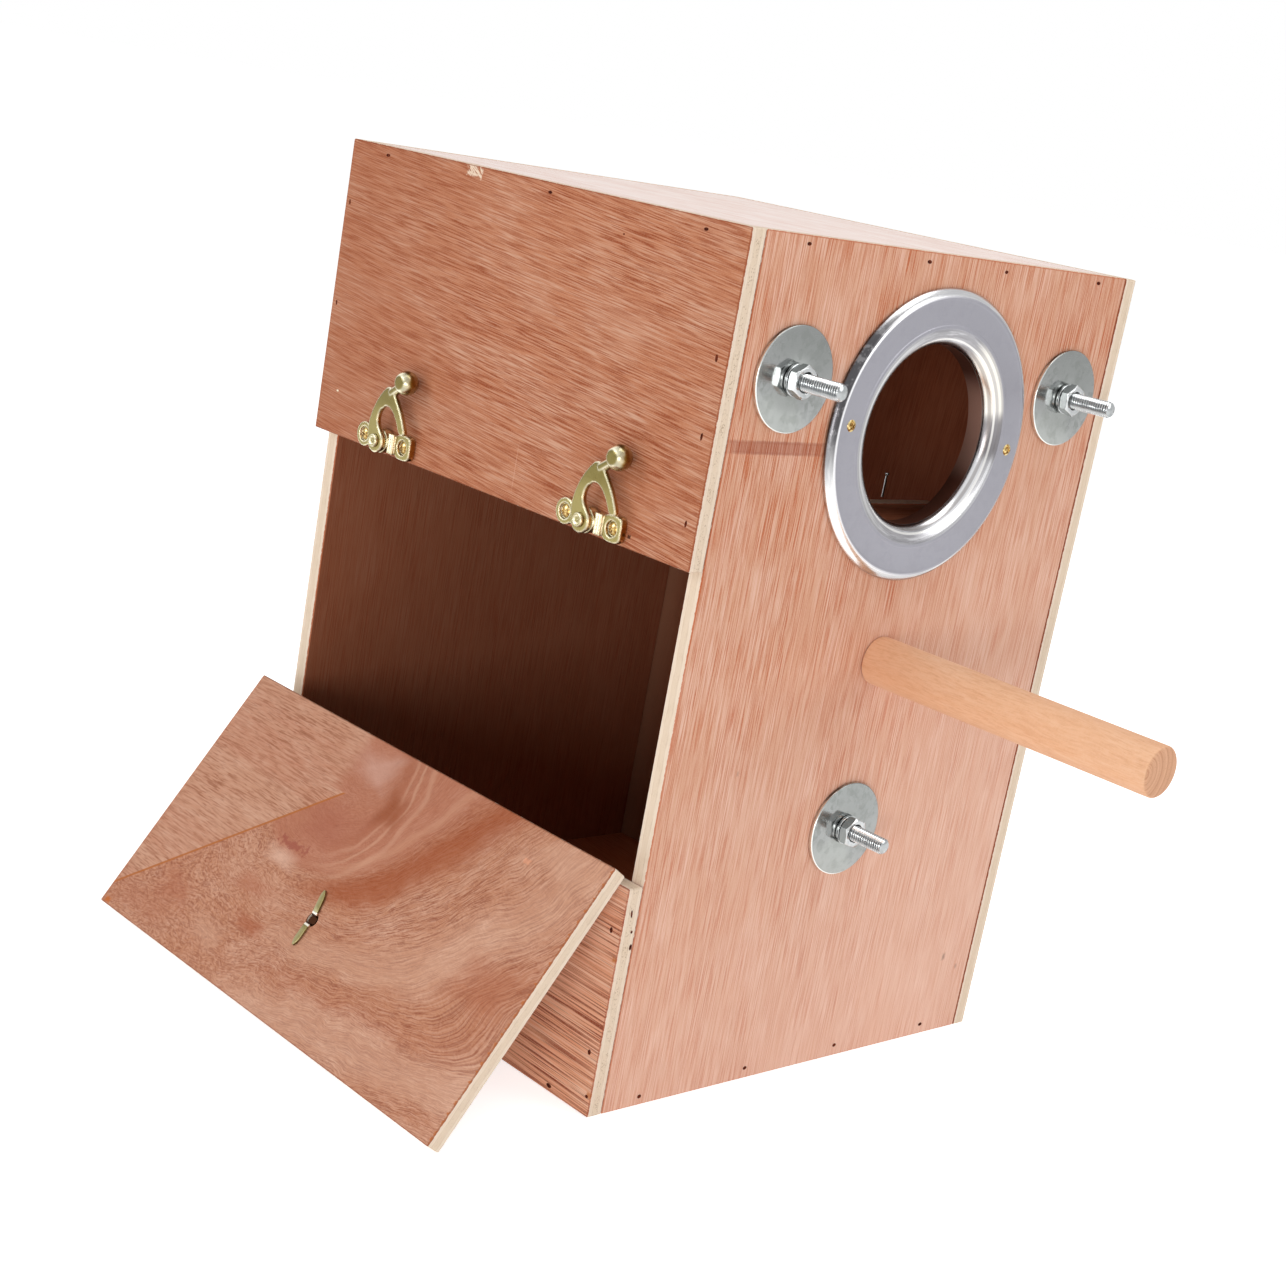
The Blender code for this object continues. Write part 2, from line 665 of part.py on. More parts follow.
def make_latch(side, y, brass, pattern, panel_item):
    """A plate with a raised, ribbed middle, and the hooked arm that is riveted to it."""
    frame = Matrix.Translation((-HALF_WIDTH, y, UPPER_PANEL_BOTTOM + PIVOT_RISE)) @ DOOR_SIDE
    bar, others = plate_shape(EAR_RADIUS)
    foot = GLUE_LINE + PLATE_THICKNESS / 2
    others.append(drum(BOSS_RADIUS, foot, GLUE_LINE + BOSS_HEIGHT))
    half = RIB_LENGTH / 2
    for number in range(RIB_COUNT):
        left = RIB_START + number * RIB_PITCH
        corner = (left, -half, foot)
        others.append(block(corner, (left + RIB_WIDTH, half, GLUE_LINE + RIB_HEIGHT), (0, 0, 0)))
    plate = fuse(f"latch_plate_{side}", bar, others, brass, frame)
    rivet_hole = RIVET_RADIUS + CLEARANCE
    holes = ear_holes()
    holes.append((0, 0, rivet_hole, -OVERRUN, BOSS_HEIGHT + OVERRUN, SMALL_ROUND_STEPS))
    pierce(plate, f"latch plate holes {side}", holes, frame)
    outline = [(x * ARM_REACH, y * ARM_REACH) for x, y in ARM_OUTLINE_SHARES]
    body = extruded(smooth_outline(outline, ARM_OUTLINE_STEPS), ARM_BOTTOM, ARM_TOP)
    arm_middle = (ARM_BOTTOM + ARM_TOP) / 2
    centre = Vector((ARM_BALL_OUT, ARM_BALL_UP, arm_middle + ARM_BALL_LIFT))
    root = Vector((centre.x / 3, ARM_REACH * 0.85, arm_middle))
    ball = bmesh.new()
    bmesh.ops.create_uvsphere(
        ball, u_segments=16, v_segments=10, radius=ARM_BALL_RADIUS, matrix=Matrix.Translation(centre)
    )
    reach = centre - root
    neck_radius = min(ARM_NECK_RADIUS, ARM_THICKNESS * 0.9)
    neck = drum(neck_radius, 0, reach.length, SMALL_ROUND_STEPS)
    neck.transform(Matrix.Translation(root) @ reach.to_track_quat("Z", "Y").to_matrix().to_4x4())
    arm = fuse(f"latch_arm_{side}", body, [neck, ball], brass, frame)
    hole = [(0, 0, rivet_hole, ARM_BOTTOM - OVERRUN, ARM_TOP + OVERRUN, SMALL_ROUND_STEPS)]
    pierce(arm, f"latch arm hole {side}", hole, frame)
    top = ARM_TOP + GLUE_LINE
    profile = (
        (0, GLUE_LINE + CLEARANCE), (RIVET_RADIUS, GLUE_LINE + CLEARANCE), (RIVET_RADIUS, top),
        (RIVET_HEAD_RADIUS, top), (RIVET_HEAD_RADIUS * 0.8, top + RIVET_HEAD_HEIGHT * 0.7),
        (0, top + RIVET_HEAD_HEIGHT),
    )
    finish(f"latch_rivet_{side}", turned(profile, ROUND_STEPS), brass, frame)
    fix_plate(f"latch_screw_{side}", frame, brass, pattern, panel_item)


def fix_plate(name, frame, brass, pattern, board, parent=None):
    """Two screws through a plate's ears, and their holes in the board."""
    height = GLUE_LINE + PLATE_THICKNESS
    bite = height + SCREW_BITE - CLEARANCE
    spots = (("left", -EAR_OFFSET), ("right", EAR_OFFSET))
    for number, (end, x) in enumerate(spots):
        turn = math.radians(30 + 25 * number)
        screw(f"{name}_{end}", pattern, brass, frame, x, 0, height, bite, turn, parent)
    pierce(board, f"{name} pilots", [pilot(x, 0) for _, x in spots], frame, parent)


def make_catch(side, x, brass, pattern, door, parent):
    """A plate with a domed post on the door, straight below the latch's pivot when shut."""
    post_up = UPPER_PANEL_BOTTOM + PIVOT_RISE - POST_DISTANCE - PIN_HEIGHT
    frame = Matrix.Translation((x, post_up, DOOR_FACE))
    bar, others = plate_shape(CATCH_EAR_RADIUS)
    foot = GLUE_LINE + PLATE_THICKNESS / 2
    profile = (
        (0, foot), (POST_RADIUS, foot), (POST_RADIUS, ARM_TOP),
        (POST_RADIUS * 0.75, ARM_TOP + POST_DOME_HEIGHT * 0.75), (0, ARM_TOP + POST_DOME_HEIGHT),
    )
    others.append(turned(profile, ROUND_STEPS))
    plate = fuse(f"catch_plate_{side}", bar, others, brass, frame, parent)
    pierce(plate, f"catch holes {side}", ear_holes(), frame, parent)
    fix_plate(f"catch_screw_{side}", frame, brass, pattern, door, parent)


def leaf(name, up, knuckles, brass, frame, parent=None):
    """One hinge leaf. `up` is 1 for the door's leaf and -1 for the fixed one, and `knuckles`
    are the stretches of the pin that it wraps."""
    low = DOOR_FACE + GLUE_LINE
    high = low + HINGE_LEAF_THICKNESS
    half = HINGE_WIDTH / 2
    near = KNUCKLE_RADIUS + CLEARANCE
    ends = sorted((up * near, up * HINGE_LEAF_HEIGHT))
    others = []
    for start, stop in knuckles:
        strip = sorted((0, up * (near + EDGE_BREAK)))
        others.append(block((start, strip[0], low), (stop, strip[1], high), (0, 0, 0)))
        knuckle = rod_across(KNUCKLE_RADIUS, (stop - start) / 2)
        others.append(moved(knuckle, (start + stop) / 2, 0))
    plate = block((-half, ends[0], low), (half, ends[1], high), (0, 0, 0))
    item = fuse(name, plate, others, brass, frame, parent)
    bore = rod_across(PIN_HOLE_RADIUS, half + OVERRUN, SMALL_ROUND_STEPS)
    combine(item, finish(f"{name} bore", bore, None, frame, parent), "DIFFERENCE")
    radius = SCREW_SHANK_RADIUS + CLEARANCE
    holes = [
        (sign * HINGE_SCREW_OFFSET, up * HINGE_SCREW_DROP, radius, low - OVERRUN, high + OVERRUN,
         SMALL_ROUND_STEPS)
        for sign in (-1, 1)
    ]
    pierce(item, f"{name} holes", holes, frame, parent)


def make_hinge(side, y, brass, pattern, lower, door, parent):
    """Both leaves, the pin and four screws, in frames whose origin is on the pin's axis."""
    fixed = Matrix.Translation((-HALF_WIDTH - PIN_OFFSET, y, PIN_HEIGHT)) @ DOOR_SIDE
    swung = Matrix.Translation((-y, 0, 0))
    half = HINGE_WIDTH / 2
    third = HINGE_WIDTH / 6
    gap = CLEARANCE / 2
    outer = ((-half, -third - gap), (third + gap, half))
    leaf(f"hinge_fixed_leaf_{side}", -1, outer, brass, fixed)
    leaf(f"hinge_door_leaf_{side}", 1, ((-third + gap, third - gap),), brass, swung, parent)
    tip = half + CLEARANCE
    profile = (
        (0, -tip - PIN_HEAD_HEIGHT), (PIN_HEAD_RADIUS, -tip - PIN_HEAD_HEIGHT * 0.6),
        (PIN_HEAD_RADIUS, -tip), (PIN_RADIUS, -tip), (PIN_RADIUS, tip), (PIN_HEAD_RADIUS, tip),
        (PIN_HEAD_RADIUS, tip + PIN_HEAD_HEIGHT * 0.6), (0, tip + PIN_HEAD_HEIGHT),
    )
    pin = turned(profile, SMALL_ROUND_STEPS)
    pin.transform(Matrix.Rotation(math.pi / 2, 4, "Y"))
    finish(f"hinge_pin_{side}", pin, brass, fixed)
    height = DOOR_FACE + GLUE_LINE + HINGE_LEAF_THICKNESS
    bite = GLUE_LINE + HINGE_LEAF_THICKNESS + SCREW_BITE - CLEARANCE
    spots = (("left", -HINGE_SCREW_OFFSET), ("right", HINGE_SCREW_OFFSET))
    sets = (
        ("lower", -HINGE_SCREW_DROP, fixed, lower, None),
        ("door", HINGE_SCREW_DROP, swung, door, parent),
    )
    for where, up, frame, board, holder in sets:
        name = f"hinge_screw_{side}_{where}"
        for end, x in spots:
            turn = math.radians(40)
            screw(f"{name}_{end}", pattern, brass, frame, x, up, height, bite, turn, holder)
        board_face = frame @ Matrix.Translation((0, 0, DOOR_FACE))
        pierce(board, f"{name} pilots", [pilot(x, up) for _, x in spots], board_face, holder)


def strip_route():
    """The split pin's middle line in (up the door, out of the door) from one leg's point,
    through the door, round the eye and back to the other leg's point."""
    inside = DOOR_FACE - PLY - GLUE_LINE - STRIP_THICKNESS / 2
    half = STRIP_SPREAD / 2
    neck = DOOR_FACE + GLUE_LINE + ROSETTE_THICKNESS + CLEARANCE
    open_angle = math.asin(half / EYE_RADIUS)
    eye = neck + EYE_RADIUS * math.cos(open_angle)
    bend = STRIP_THICKNESS
    side = [
        (LEG_REACH, inside),
        (LEG_REACH - STRIP_POINT_LENGTH, inside),
        (half + bend, inside),
        (half + bend / 4, inside + bend / 4),
        (half, inside + bend),
        (half, neck),
    ]
    steps = ROUND_STEPS
    turn = (2 * math.pi - 2 * open_angle) / steps
    loop = []
    for i in range(1, steps):
        angle = open_angle + i * turn
        loop.append((-EYE_RADIUS * math.sin(angle), eye - EYE_RADIUS * math.cos(angle)))
    left = [(-up, out) for up, out in side]
    return left + loop + side[::-1], eye


def strip_shape(route):
    """A flat strip along a route, as wide as the strip and pointed at both ends."""
    shape = bmesh.new()
    rings = []
    last = len(route) - 1
    for i, (up, out) in enumerate(route):
        before, after = Vector(route[max(i - 1, 0)]), Vector(route[min(i + 1, last)])
        along = (after - before).normalized()
        side = Vector((-along.y, along.x)) * STRIP_THICKNESS / 2
        width = STRIP_POINT_WIDTH if i in (0, last) else STRIP_WIDTH
        corners = ((-1, -1), (1, -1), (1, 1), (-1, 1))
        rings.append(
            [
                shape.verts.new((a * width / 2, up + b * side.x, out + b * side.y))
                for a, b in corners
            ]
        )
    for ring, after in zip(rings, rings[1:]):
        for i in range(4):
            shape.faces.new((ring[i], ring[(i + 1) % 4], after[(i + 1) % 4], after[i]))
    shape.faces.new(rings[0])
    shape.faces.new(rings[-1])
    return shape


def make_ring_pull(brass, door, parent):
    """Rosette, split pin and ring. The ring's frame is on its wire, where it hangs in the eye."""
    up = DOOR_BOTTOM + PULL_SHARE * (DOOR_TOP - DOOR_BOTTOM)
    frame = Matrix.Translation((0, up, 0))
    route, eye = strip_route()
    finish("pull_split_pin", strip_shape(route), brass, frame, parent)
    low = DOOR_FACE + GLUE_LINE
    high = low + ROSETTE_THICKNESS
    profile = (
        (PULL_HOLE_RADIUS, low), (ROSETTE_RADIUS, low), (ROSETTE_RADIUS, low + ROSETTE_THICKNESS / 3),
        (ROSETTE_RADIUS - ROSETTE_THICKNESS, high), (PULL_HOLE_RADIUS, high),
    )
    finish("pull_rosette", turned(profile, ROUND_STEPS), brass, frame, parent)
    hole = [(0, up, PULL_HOLE_RADIUS, DOOR_FACE - PLY - OVERRUN, DOOR_FACE + OVERRUN, ROUND_STEPS)]
    pierce(door, "pull hole", hole, Matrix.Identity(4), parent)
    lean = math.pi - door_open_angle()
    down = Vector((0, math.cos(lean), math.sin(lean)))
    play = EYE_RADIUS - STRIP_THICKNESS / 2 - PULL_WIRE_RADIUS - CLEARANCE
    wire = Vector((0, up, eye)) + down * play
    hang = Matrix.Rotation(lean, 4, "X")
    count = 10
    profile = [
        (
            PULL_RING_RADIUS + PULL_WIRE_RADIUS * math.cos(2 * math.pi * i / count),
            PULL_WIRE_RADIUS * math.sin(2 * math.pi * i / count),
        )
        for i in range(count)
    ]
    ring = turned(profile, RING_STEPS // 2)
    ring.transform(Matrix.Translation((0, PULL_RING_RADIUS, 0)))
    finish("pull_ring", ring, brass, Matrix.Translation(wire) @ hang, parent)
    return wire


def clear_scene():
    for item in list(bpy.data.objects):
        bpy.data.objects.remove(item)


def main():
    clear_scene()
    wood = {
        "front": make_material("salmon plywood", (0.66, 0.36, 0.25), 0.62),
        "side": make_material("red-brown plywood", (0.47, 0.20, 0.11), 0.58),
        "door": make_material("figured plywood", (0.46, 0.22, 0.14), 0.55),
    }
    dowel = make_material("perch wood", (0.70, 0.38, 0.20), 0.60)
    steel = make_material("stainless steel", (0.56, 0.56, 0.58), 0.30, 1.0)
    zinc = make_material("zinc plated steel", (0.55, 0.58, 0.56), 0.35, 1.0)
    brass = make_material("brass", (0.68, 0.55, 0.24), 0.25, 1.0)
    pattern = screw_mesh()
    front, upper, lower = make_box(wood)
    pierce_front(front)
    make_entry_ring(steel, brass, pattern)
    make_perch(dowel, steel)
    make_landing_step(wood)
    for number, (x, z) in enumerate(bolt_places(), 1):
        make_mounting_set(number, x, z, zinc)
    hinge_line = bpy.data.objects.new("door_hinge_line", None)
    bpy.context.scene.collection.objects.link(hinge_line)
    opened = Matrix.Rotation(door_open_angle(), 4, "X")
    pin = Matrix.Translation((-HALF_WIDTH - PIN_OFFSET, 0, PIN_HEIGHT))
    hinge_line.matrix_basis = pin @ DOOR_SIDE @ opened
    door = panel(
        "door_panel",
        (-HALF_DEPTH, DOOR_BOTTOM, DOOR_FACE - PLY),
        (HALF_DEPTH, DOOR_TOP, DOOR_FACE),
        wood["door"],
        hinge_line,
    )
    for side, sign in (("rear", 1), ("front", -1)):
        latch_y = sign * LATCH_SPREAD / 2
        hinge_y = sign * HINGE_SPREAD / 2
        make_latch(side, latch_y, brass, pattern, upper)
        make_catch(side, -latch_y, brass, pattern, door, hinge_line)
        make_hinge(side, hinge_y, brass, pattern, lower, door, hinge_line)
    wire = make_ring_pull(brass, door, hinge_line)
    bpy.context.view_layer.update()
    pull = hinge_line.matrix_world @ wire
    print("door opens by", round(math.degrees(door_open_angle()), 2), "degrees about", pin.translation)
    print("pull ring swings about", pull)


main()
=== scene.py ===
# %% [markdown]
# # A plywood nest box for budgerigars
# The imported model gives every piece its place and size. This lesson dresses it: it gives the
# boards their veneers and their pale layered edges, makes the fittings again with their
# threads and rounded edges, and lights them as in a plain studio. The box's origin is the
# middle of its underside, with the entry hole facing -Y and the drop-down door facing -X.

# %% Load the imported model
import json
import math
from types import SimpleNamespace

import bmesh
import bpy
from mathutils import Matrix, Vector

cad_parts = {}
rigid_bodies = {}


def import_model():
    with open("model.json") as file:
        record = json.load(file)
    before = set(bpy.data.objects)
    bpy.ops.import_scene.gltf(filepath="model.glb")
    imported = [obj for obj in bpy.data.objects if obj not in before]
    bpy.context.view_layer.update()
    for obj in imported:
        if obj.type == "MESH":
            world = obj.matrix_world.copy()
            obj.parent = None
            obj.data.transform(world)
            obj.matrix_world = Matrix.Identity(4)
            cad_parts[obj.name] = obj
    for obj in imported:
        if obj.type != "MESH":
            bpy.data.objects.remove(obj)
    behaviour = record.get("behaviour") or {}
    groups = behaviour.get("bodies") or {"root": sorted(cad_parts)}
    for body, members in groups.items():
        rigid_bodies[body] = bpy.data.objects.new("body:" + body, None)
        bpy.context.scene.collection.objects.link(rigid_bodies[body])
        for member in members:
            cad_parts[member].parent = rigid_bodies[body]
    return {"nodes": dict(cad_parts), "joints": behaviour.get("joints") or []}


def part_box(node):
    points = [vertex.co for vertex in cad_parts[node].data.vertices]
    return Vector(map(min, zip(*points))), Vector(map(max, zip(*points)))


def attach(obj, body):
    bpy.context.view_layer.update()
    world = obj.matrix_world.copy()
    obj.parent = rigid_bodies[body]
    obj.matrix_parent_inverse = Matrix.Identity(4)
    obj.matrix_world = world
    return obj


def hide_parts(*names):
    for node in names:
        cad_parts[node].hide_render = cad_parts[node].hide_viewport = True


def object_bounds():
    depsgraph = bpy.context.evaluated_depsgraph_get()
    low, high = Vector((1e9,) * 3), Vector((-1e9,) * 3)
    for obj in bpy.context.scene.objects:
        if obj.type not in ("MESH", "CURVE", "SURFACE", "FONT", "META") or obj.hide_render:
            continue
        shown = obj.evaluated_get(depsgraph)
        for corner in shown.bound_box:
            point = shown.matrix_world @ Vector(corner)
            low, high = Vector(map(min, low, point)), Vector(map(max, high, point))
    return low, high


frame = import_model()
cad_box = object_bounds()
MM = 0.001


def add(name, data):
    """A new object in the scene."""
    item = bpy.data.objects.new(name, data)
    bpy.context.scene.collection.objects.link(item)
    return item


# %% [markdown]
# The camera stands in front of the near corner, a little above the box, and leans, so the box
# seems to tip to the right. A long lens keeps the verticals calm. Its place came from fitting
# the corners of the boards, so nothing here is adjusted by eye.

# %% Camera
SIDE_TURN = math.radians(44.91)
LOOK_DOWN = math.radians(15.01)
LEAN = math.radians(10.28)
lens = bpy.data.cameras.new("studio camera")
lens.sensor_width = 36
lens.lens = 59.49
lens.shift_x = 0.0127
lens.shift_y = 0.0389
camera = add("studio camera", lens)
camera.matrix_world = (
    Matrix.Translation((-0.5762, -0.5626, 0.3259))
    @ Matrix.Rotation(-SIDE_TURN, 4, "Z")
    @ Matrix.Rotation(math.pi / 2 - LOOK_DOWN, 4, "X")
    @ Matrix.Rotation(LEAN, 4, "Z")
)
bpy.context.scene.camera = camera
bpy.context.scene.view_settings.view_transform = "Standard"
print("camera looks along", [round(-x, 3) for x in camera.matrix_world.col[2][:3]])

# %% [markdown]
# Shader trees are long when every node and link is spelled out. A `Signal` is the output of a
# node, and sums, products and functions of signals add the nodes that work them out, so that a
# pattern reads like a formula. Colours are written as the 0 to 255 values that a colour
# picker shows, and turned into the linear values that the renderer works with.

# %% A shorthand for nodes
def paint(red, green, blue):
    """A picked colour as linear red, green, blue and alpha."""
    shares = [part / 255 for part in (red, green, blue)]
    return (*(s / 12.92 if s <= 0.04045 else ((s + 0.055) / 1.055) ** 2.4 for s in shares), 1.0)


def feed(socket, value):
    """Links a signal to an input, or sets the input. A colour of three parts is a picked one."""
    if isinstance(value, Signal):
        socket.id_data.links.new(value.socket, socket)
    elif socket.type == "RGBA" and len(value) == 3:
        socket.default_value = paint(*value)
    else:
        socket.default_value = tuple(value) if socket.type == "VECTOR" else value


def feed_all(made, **values):
    """Feeds a node's inputs by name, with _ for a space."""
    for name, value in values.items():
        feed(made.inputs[name.replace("_", " ")], value)


def node(tree, kind, inputs=(), out=0, **values):
    """Adds a node and gives one of its outputs. Names that start with a capital are inputs,
    and the others are settings."""
    made = tree.nodes.new(kind)
    for name in [name for name in values if name[0].islower()]:
        setattr(made, name, values.pop(name))
    for key, value in inputs.items() if isinstance(inputs, dict) else inputs:
        feed(made.inputs[key], value)
    feed_all(made, **values)
    return Signal(made.outputs[out])


def calc(operation, *values, clamp=False):
    """A node of maths, or of vector maths where a signal among the values is a vector."""
    signals = [value for value in values if isinstance(value, Signal)]
    tree = signals[0].tree
    if any(signal.socket.type in ("VECTOR", "RGBA") for signal in signals):
        out = "Value" if operation in ("LENGTH", "DOT_PRODUCT") else "Vector"
        return node(tree, "ShaderNodeVectorMath", enumerate(values), out, operation=operation)
    return node(tree, "ShaderNodeMath", enumerate(values), operation=operation, use_clamp=clamp)


class Signal:
    """One output of a node. Another output of the same node comes by its name or number."""

    def __init__(self, socket):
        self.socket = socket
        self.tree = socket.id_data

    def __getitem__(self, name):
        return Signal(self.socket.node.outputs[name])

    def __abs__(self):
        return calc("ABSOLUTE", self)

    def split(self):
        return node(self.tree, "ShaderNodeSeparateXYZ", {0: self})

    def ease(self, low, high, start=0.0, stop=1.0):
        """Goes smoothly from start to stop as the signal goes from low to high."""
        inputs = enumerate((self, low, high, start, stop))
        return node(self.tree, "ShaderNodeMapRange", inputs, interpolation_type="SMOOTHSTEP")

    def near(self, middle, core, half, share=1.0):
        """The share within `core` of a middle, and nothing beyond `half` of it."""
        return abs(self - middle).ease(core, half, share, 0.0)

    def noise(self, scale, detail=2.0, rough=0.5):
        return node(self.tree, "ShaderNodeTexNoise", Vector=self, Scale=scale, Detail=detail,
                    Roughness=rough)

    def cells(self, scale):
        return node(self.tree, "ShaderNodeTexVoronoi", Vector=self, Scale=scale)


for name, operation in (("add", "ADD"), ("sub", "SUBTRACT"), ("mul", "MULTIPLY"),
                        ("truediv", "DIVIDE")):
    setattr(Signal, f"__{name}__", lambda a, b, o=operation: calc(o, a, b))
    setattr(Signal, f"__r{name}__", lambda a, b, o=operation: calc(o, b, a))


def tree_of(*values):
    return next(value.tree for value in values if isinstance(value, Signal))


def join(x=0.0, y=0.0, z=0.0):
    return node(tree_of(x, y, z), "ShaderNodeCombineXYZ", enumerate((x, y, z)))


def between(share, first, second):
    return node(share.tree, "ShaderNodeMix", {0: share, 2: first, 3: second})


def mix(share, first, second, blend="MIX"):
    inputs = {0: share, 6: first, 7: second}
    return node(tree_of(share, first, second), "ShaderNodeMix", inputs, 2, data_type="RGBA",
                blend_type=blend)


def overlay(tone, *layers):
    """Lays colours over a tone one after another, each by its share."""
    for share, colour in layers:
        tone = mix(share, tone, colour)
    return tone


def inputs_of(tree):
    """A tree's inputs as signals, by their names with _ for a space."""
    sockets = tree.nodes.new("NodeGroupInput").outputs
    return SimpleNamespace(**{s.name.replace(" ", "_"): Signal(s) for s in sockets if s.name})


def group(name, outputs, **sockets):
    """A new node group: its inputs as signals, and its output node."""
    tree = bpy.data.node_groups.new(name, "ShaderNodeTree")
    for label, value in sockets.items():
        kind = {3: "Vector", 4: "Color"}[len(value)] if isinstance(value, tuple) else "Float"
        made = tree.interface.new_socket(label.replace("_", " "), in_out="INPUT",
                                         socket_type="NodeSocket" + kind)
        made.default_value = value
    for label in outputs:
        kind = "NodeSocketColor" if label == "Color" else "NodeSocketFloat"
        tree.interface.new_socket(label, in_out="OUTPUT", socket_type=kind)
    return inputs_of(tree), tree.nodes.new("NodeGroupOutput")


def use(name, **values):
    """Places a finished group. Its first output comes back, and the others by their names."""
    return node(values["Vector"].tree, "ShaderNodeGroup", node_tree=bpy.data.node_groups[name],
                **values)


# %% [markdown]
# A veneer is a thin peeled sheet of timber. What the eye reads in it are four things on top of
# each other: slow pale and dark bands, fine lines about a millimetre apart where the knife cut
# through the fibres, thinner open pores between them, and pale cloudy patches, which are a
# painted sheen where the surface would catch the light. All are noise stretched along the grain:
# its peaks give the dark lines and its valleys the pale ones beside them, so the two alternate as
# they do on the real sheet. The group takes a vector whose X runs along the grain, so every board
# can use it with its own values.

# %% Veneer, as a node group
def build_veneer():
    g, sink = group("veneer", ("Color", "Height", "Roughness"), Vector=(0, 0, 0),
                    Base=paint(205, 148, 120), Streak=paint(178, 110, 82),
                    Pale=paint(228, 184, 160), Pore=paint(140, 70, 45), Band_Width=9 * MM,
                    Banding=0.5, Wander=1.0, Line_Length=14 * MM, Line_Pitch=1.0 * MM,
                    Lines=0.6, Cloud=0.5, Seed=0.0)
    place = g.Vector + join(z=g.Seed)
    bend = (place * (0.3, 1, 1)).noise(16.0)
    flow = place + join(y=(bend - 0.5) * g.Wander * (10 * MM))
    band = (flow * (0.06, 1, 1)).noise(1.0 / g.Band_Width, 3.0, 0.6)
    cloud = (place * (0.4, 1, 1)).noise(85.0, 4.0, 0.62)
    squeeze = g.Line_Pitch / g.Line_Length
    per_line = 1.3 / g.Line_Pitch
    lines = (flow * join(squeeze, 1, 1)).noise(per_line, 1.0)
    apart = flow + (0.31, 0.17, 0.53)
    hair = (apart * join(squeeze * 0.8, 1, 1)).noise(per_line * 1.7, 1.0)
    bold = (apart * (0.35, 1, 1)).noise(60.0).ease(0.36, 0.62, 0.7, 1.15)
    grit = place.noise(1500.0, 2.0, 0.6)

    pore = hair.ease(0.57, 0.66) * bold
    patch = cloud.ease(0.44, 0.66)
    pale = lines.ease(0.34, 0.48, 1.0, 0.0) * g.Lines * (0.5 + patch * 0.5)
    dark = lines.ease(0.50, 0.66) * g.Lines * (1.0 - patch * 0.4) * bold
    # The pale cloudy patches laid on with `patch` are a painted sheen.
    tone = overlay(g.Base, (band.ease(0.36, 0.66) * g.Banding, g.Streak),
                   (patch * g.Cloud * 0.55, g.Pale), (pale, g.Pale), (dark, g.Pore),
                   (pore * g.Lines * 0.9, g.Pore), (grit.ease(0.3, 0.7, 0.0, 0.16), g.Pale))
    cut = dark * 0.8 + pore * 0.5
    feed_all(sink, Color=tone, Height=grit * 0.35 - cut, Roughness=0.55 + cut * 0.2)


build_veneer()
print("veneer group made")

# %% [markdown]
# Plywood shows its make-up where it is sawn: the cut edge of each face veneer, two pale plies
# whose fibres run along the edge, and a core ply that is cut across, so that it looks
# speckled. The group gets a vector whose Z is the distance from the middle of the board and
# builds those layers from it, with borders that wander a little as a saw and a knife leave them.

# %% Sawn plywood edge, as a node group
def build_edge():
    g, sink = group("plywood edge", ("Color", "Height"), Vector=(0, 0, 0),
                    Ply=paint(234, 216, 196), Core=paint(220, 198, 172),
                    Face_Veneer=paint(190, 130, 100), Speckle=0.6, Seed=0.0)
    x, y, z = (g.Vector + join(g.Seed, g.Seed)).split()
    run = join(x + y, z)
    only = run * (1, 0, 0)
    wobble = only.noise(140.0, 4.0, 0.65) - 0.5
    depth = abs(z + wobble * (1.3 * MM))
    core = depth.ease(1.05 * MM, 1.35 * MM, 1.0, 0.0)
    glue = depth.near(1.25 * MM, 0.05 * MM, 0.3 * MM)
    skin_depth = abs(z) + (only.noise(420.0, 3.0, 0.7) - 0.5) * (1.1 * MM)
    # A pale line along the border of the face veneer: a painted highlight along the arris.
    lip = skin_depth.near(2.75 * MM, 0.0, 0.28 * MM)
    fibre = (run * (0.08, 1, 1)).noise(1900.0, 2.0, 0.6)
    blotch = run.noise(150.0, 3.0, 0.6)
    speck = (run * (1, 1.3, 1)).cells(1150.0).ease(0.15, 0.42, 1.0, 0.0)
    across = run.cells(1700.0).ease(0.1, 0.4, 0.4, 0.0) * g.Speckle
    dotted = speck * blotch.ease(0.36, 0.58) * core * g.Speckle
    tone = overlay(
        g.Ply, (fibre.ease(0.38, 0.72, 0.0, 0.55), g.Core), (core * 0.5, g.Core),
        (dotted * 0.8, (158, 126, 98)), (across * 0.5, (176, 146, 118)),
        (glue * blotch.ease(0.3, 0.7, 0.05, 0.4), (188, 156, 124)),
        (blotch.ease(0.52, 0.8, 0.0, 0.35), (206, 184, 158)), (lip * 0.45, (246, 236, 222)),
        (skin_depth.ease(2.75 * MM, 2.95 * MM), g.Face_Veneer))
    feed_all(sink, Color=tone, Height=fibre * 0.5 - (dotted + across) * 0.6)


build_edge()
print("plywood edge group made")

# %% [markdown]
# A mark on a board, such as a stain, a chip or a smear of glue, is a mask: one inside the mark
# and nothing outside it, with a ragged border. One group makes them all from a middle, a size
# and a raggedness, so each mark is a single node in a board's material, and a row in a table.

# %% Marks on a board, as a node group
def build_mark():
    g, sink = group("mark", ("Mask",), Vector=(0, 0, 0), Middle=(0, 0, 0),
                    Half_Size=(0.01, 0.01, 1.0), Softness=0.3, Ragged=0.5, Grit=400.0)
    x, y, z = abs((g.Vector - g.Middle) / g.Half_Size).split()
    far = calc("MAXIMUM", x, calc("MAXIMUM", y, z))
    far = far + (g.Vector.noise(g.Grit, 3.0, 0.6) - 0.5) * g.Ragged
    feed_all(sink, Mask=far.ease(1.0 - g.Softness, 1.0, 1.0, 0.0))


def marked(place, x, y, wide, tall, soft, ragged, grit):
    """A mark with its middle and its half size in millimetres."""
    return use("mark", Vector=place, Middle=(x * MM, y * MM, 0), Softness=soft,
               Half_Size=(wide * MM, tall * MM, 1.0), Ragged=ragged, Grit=grit)


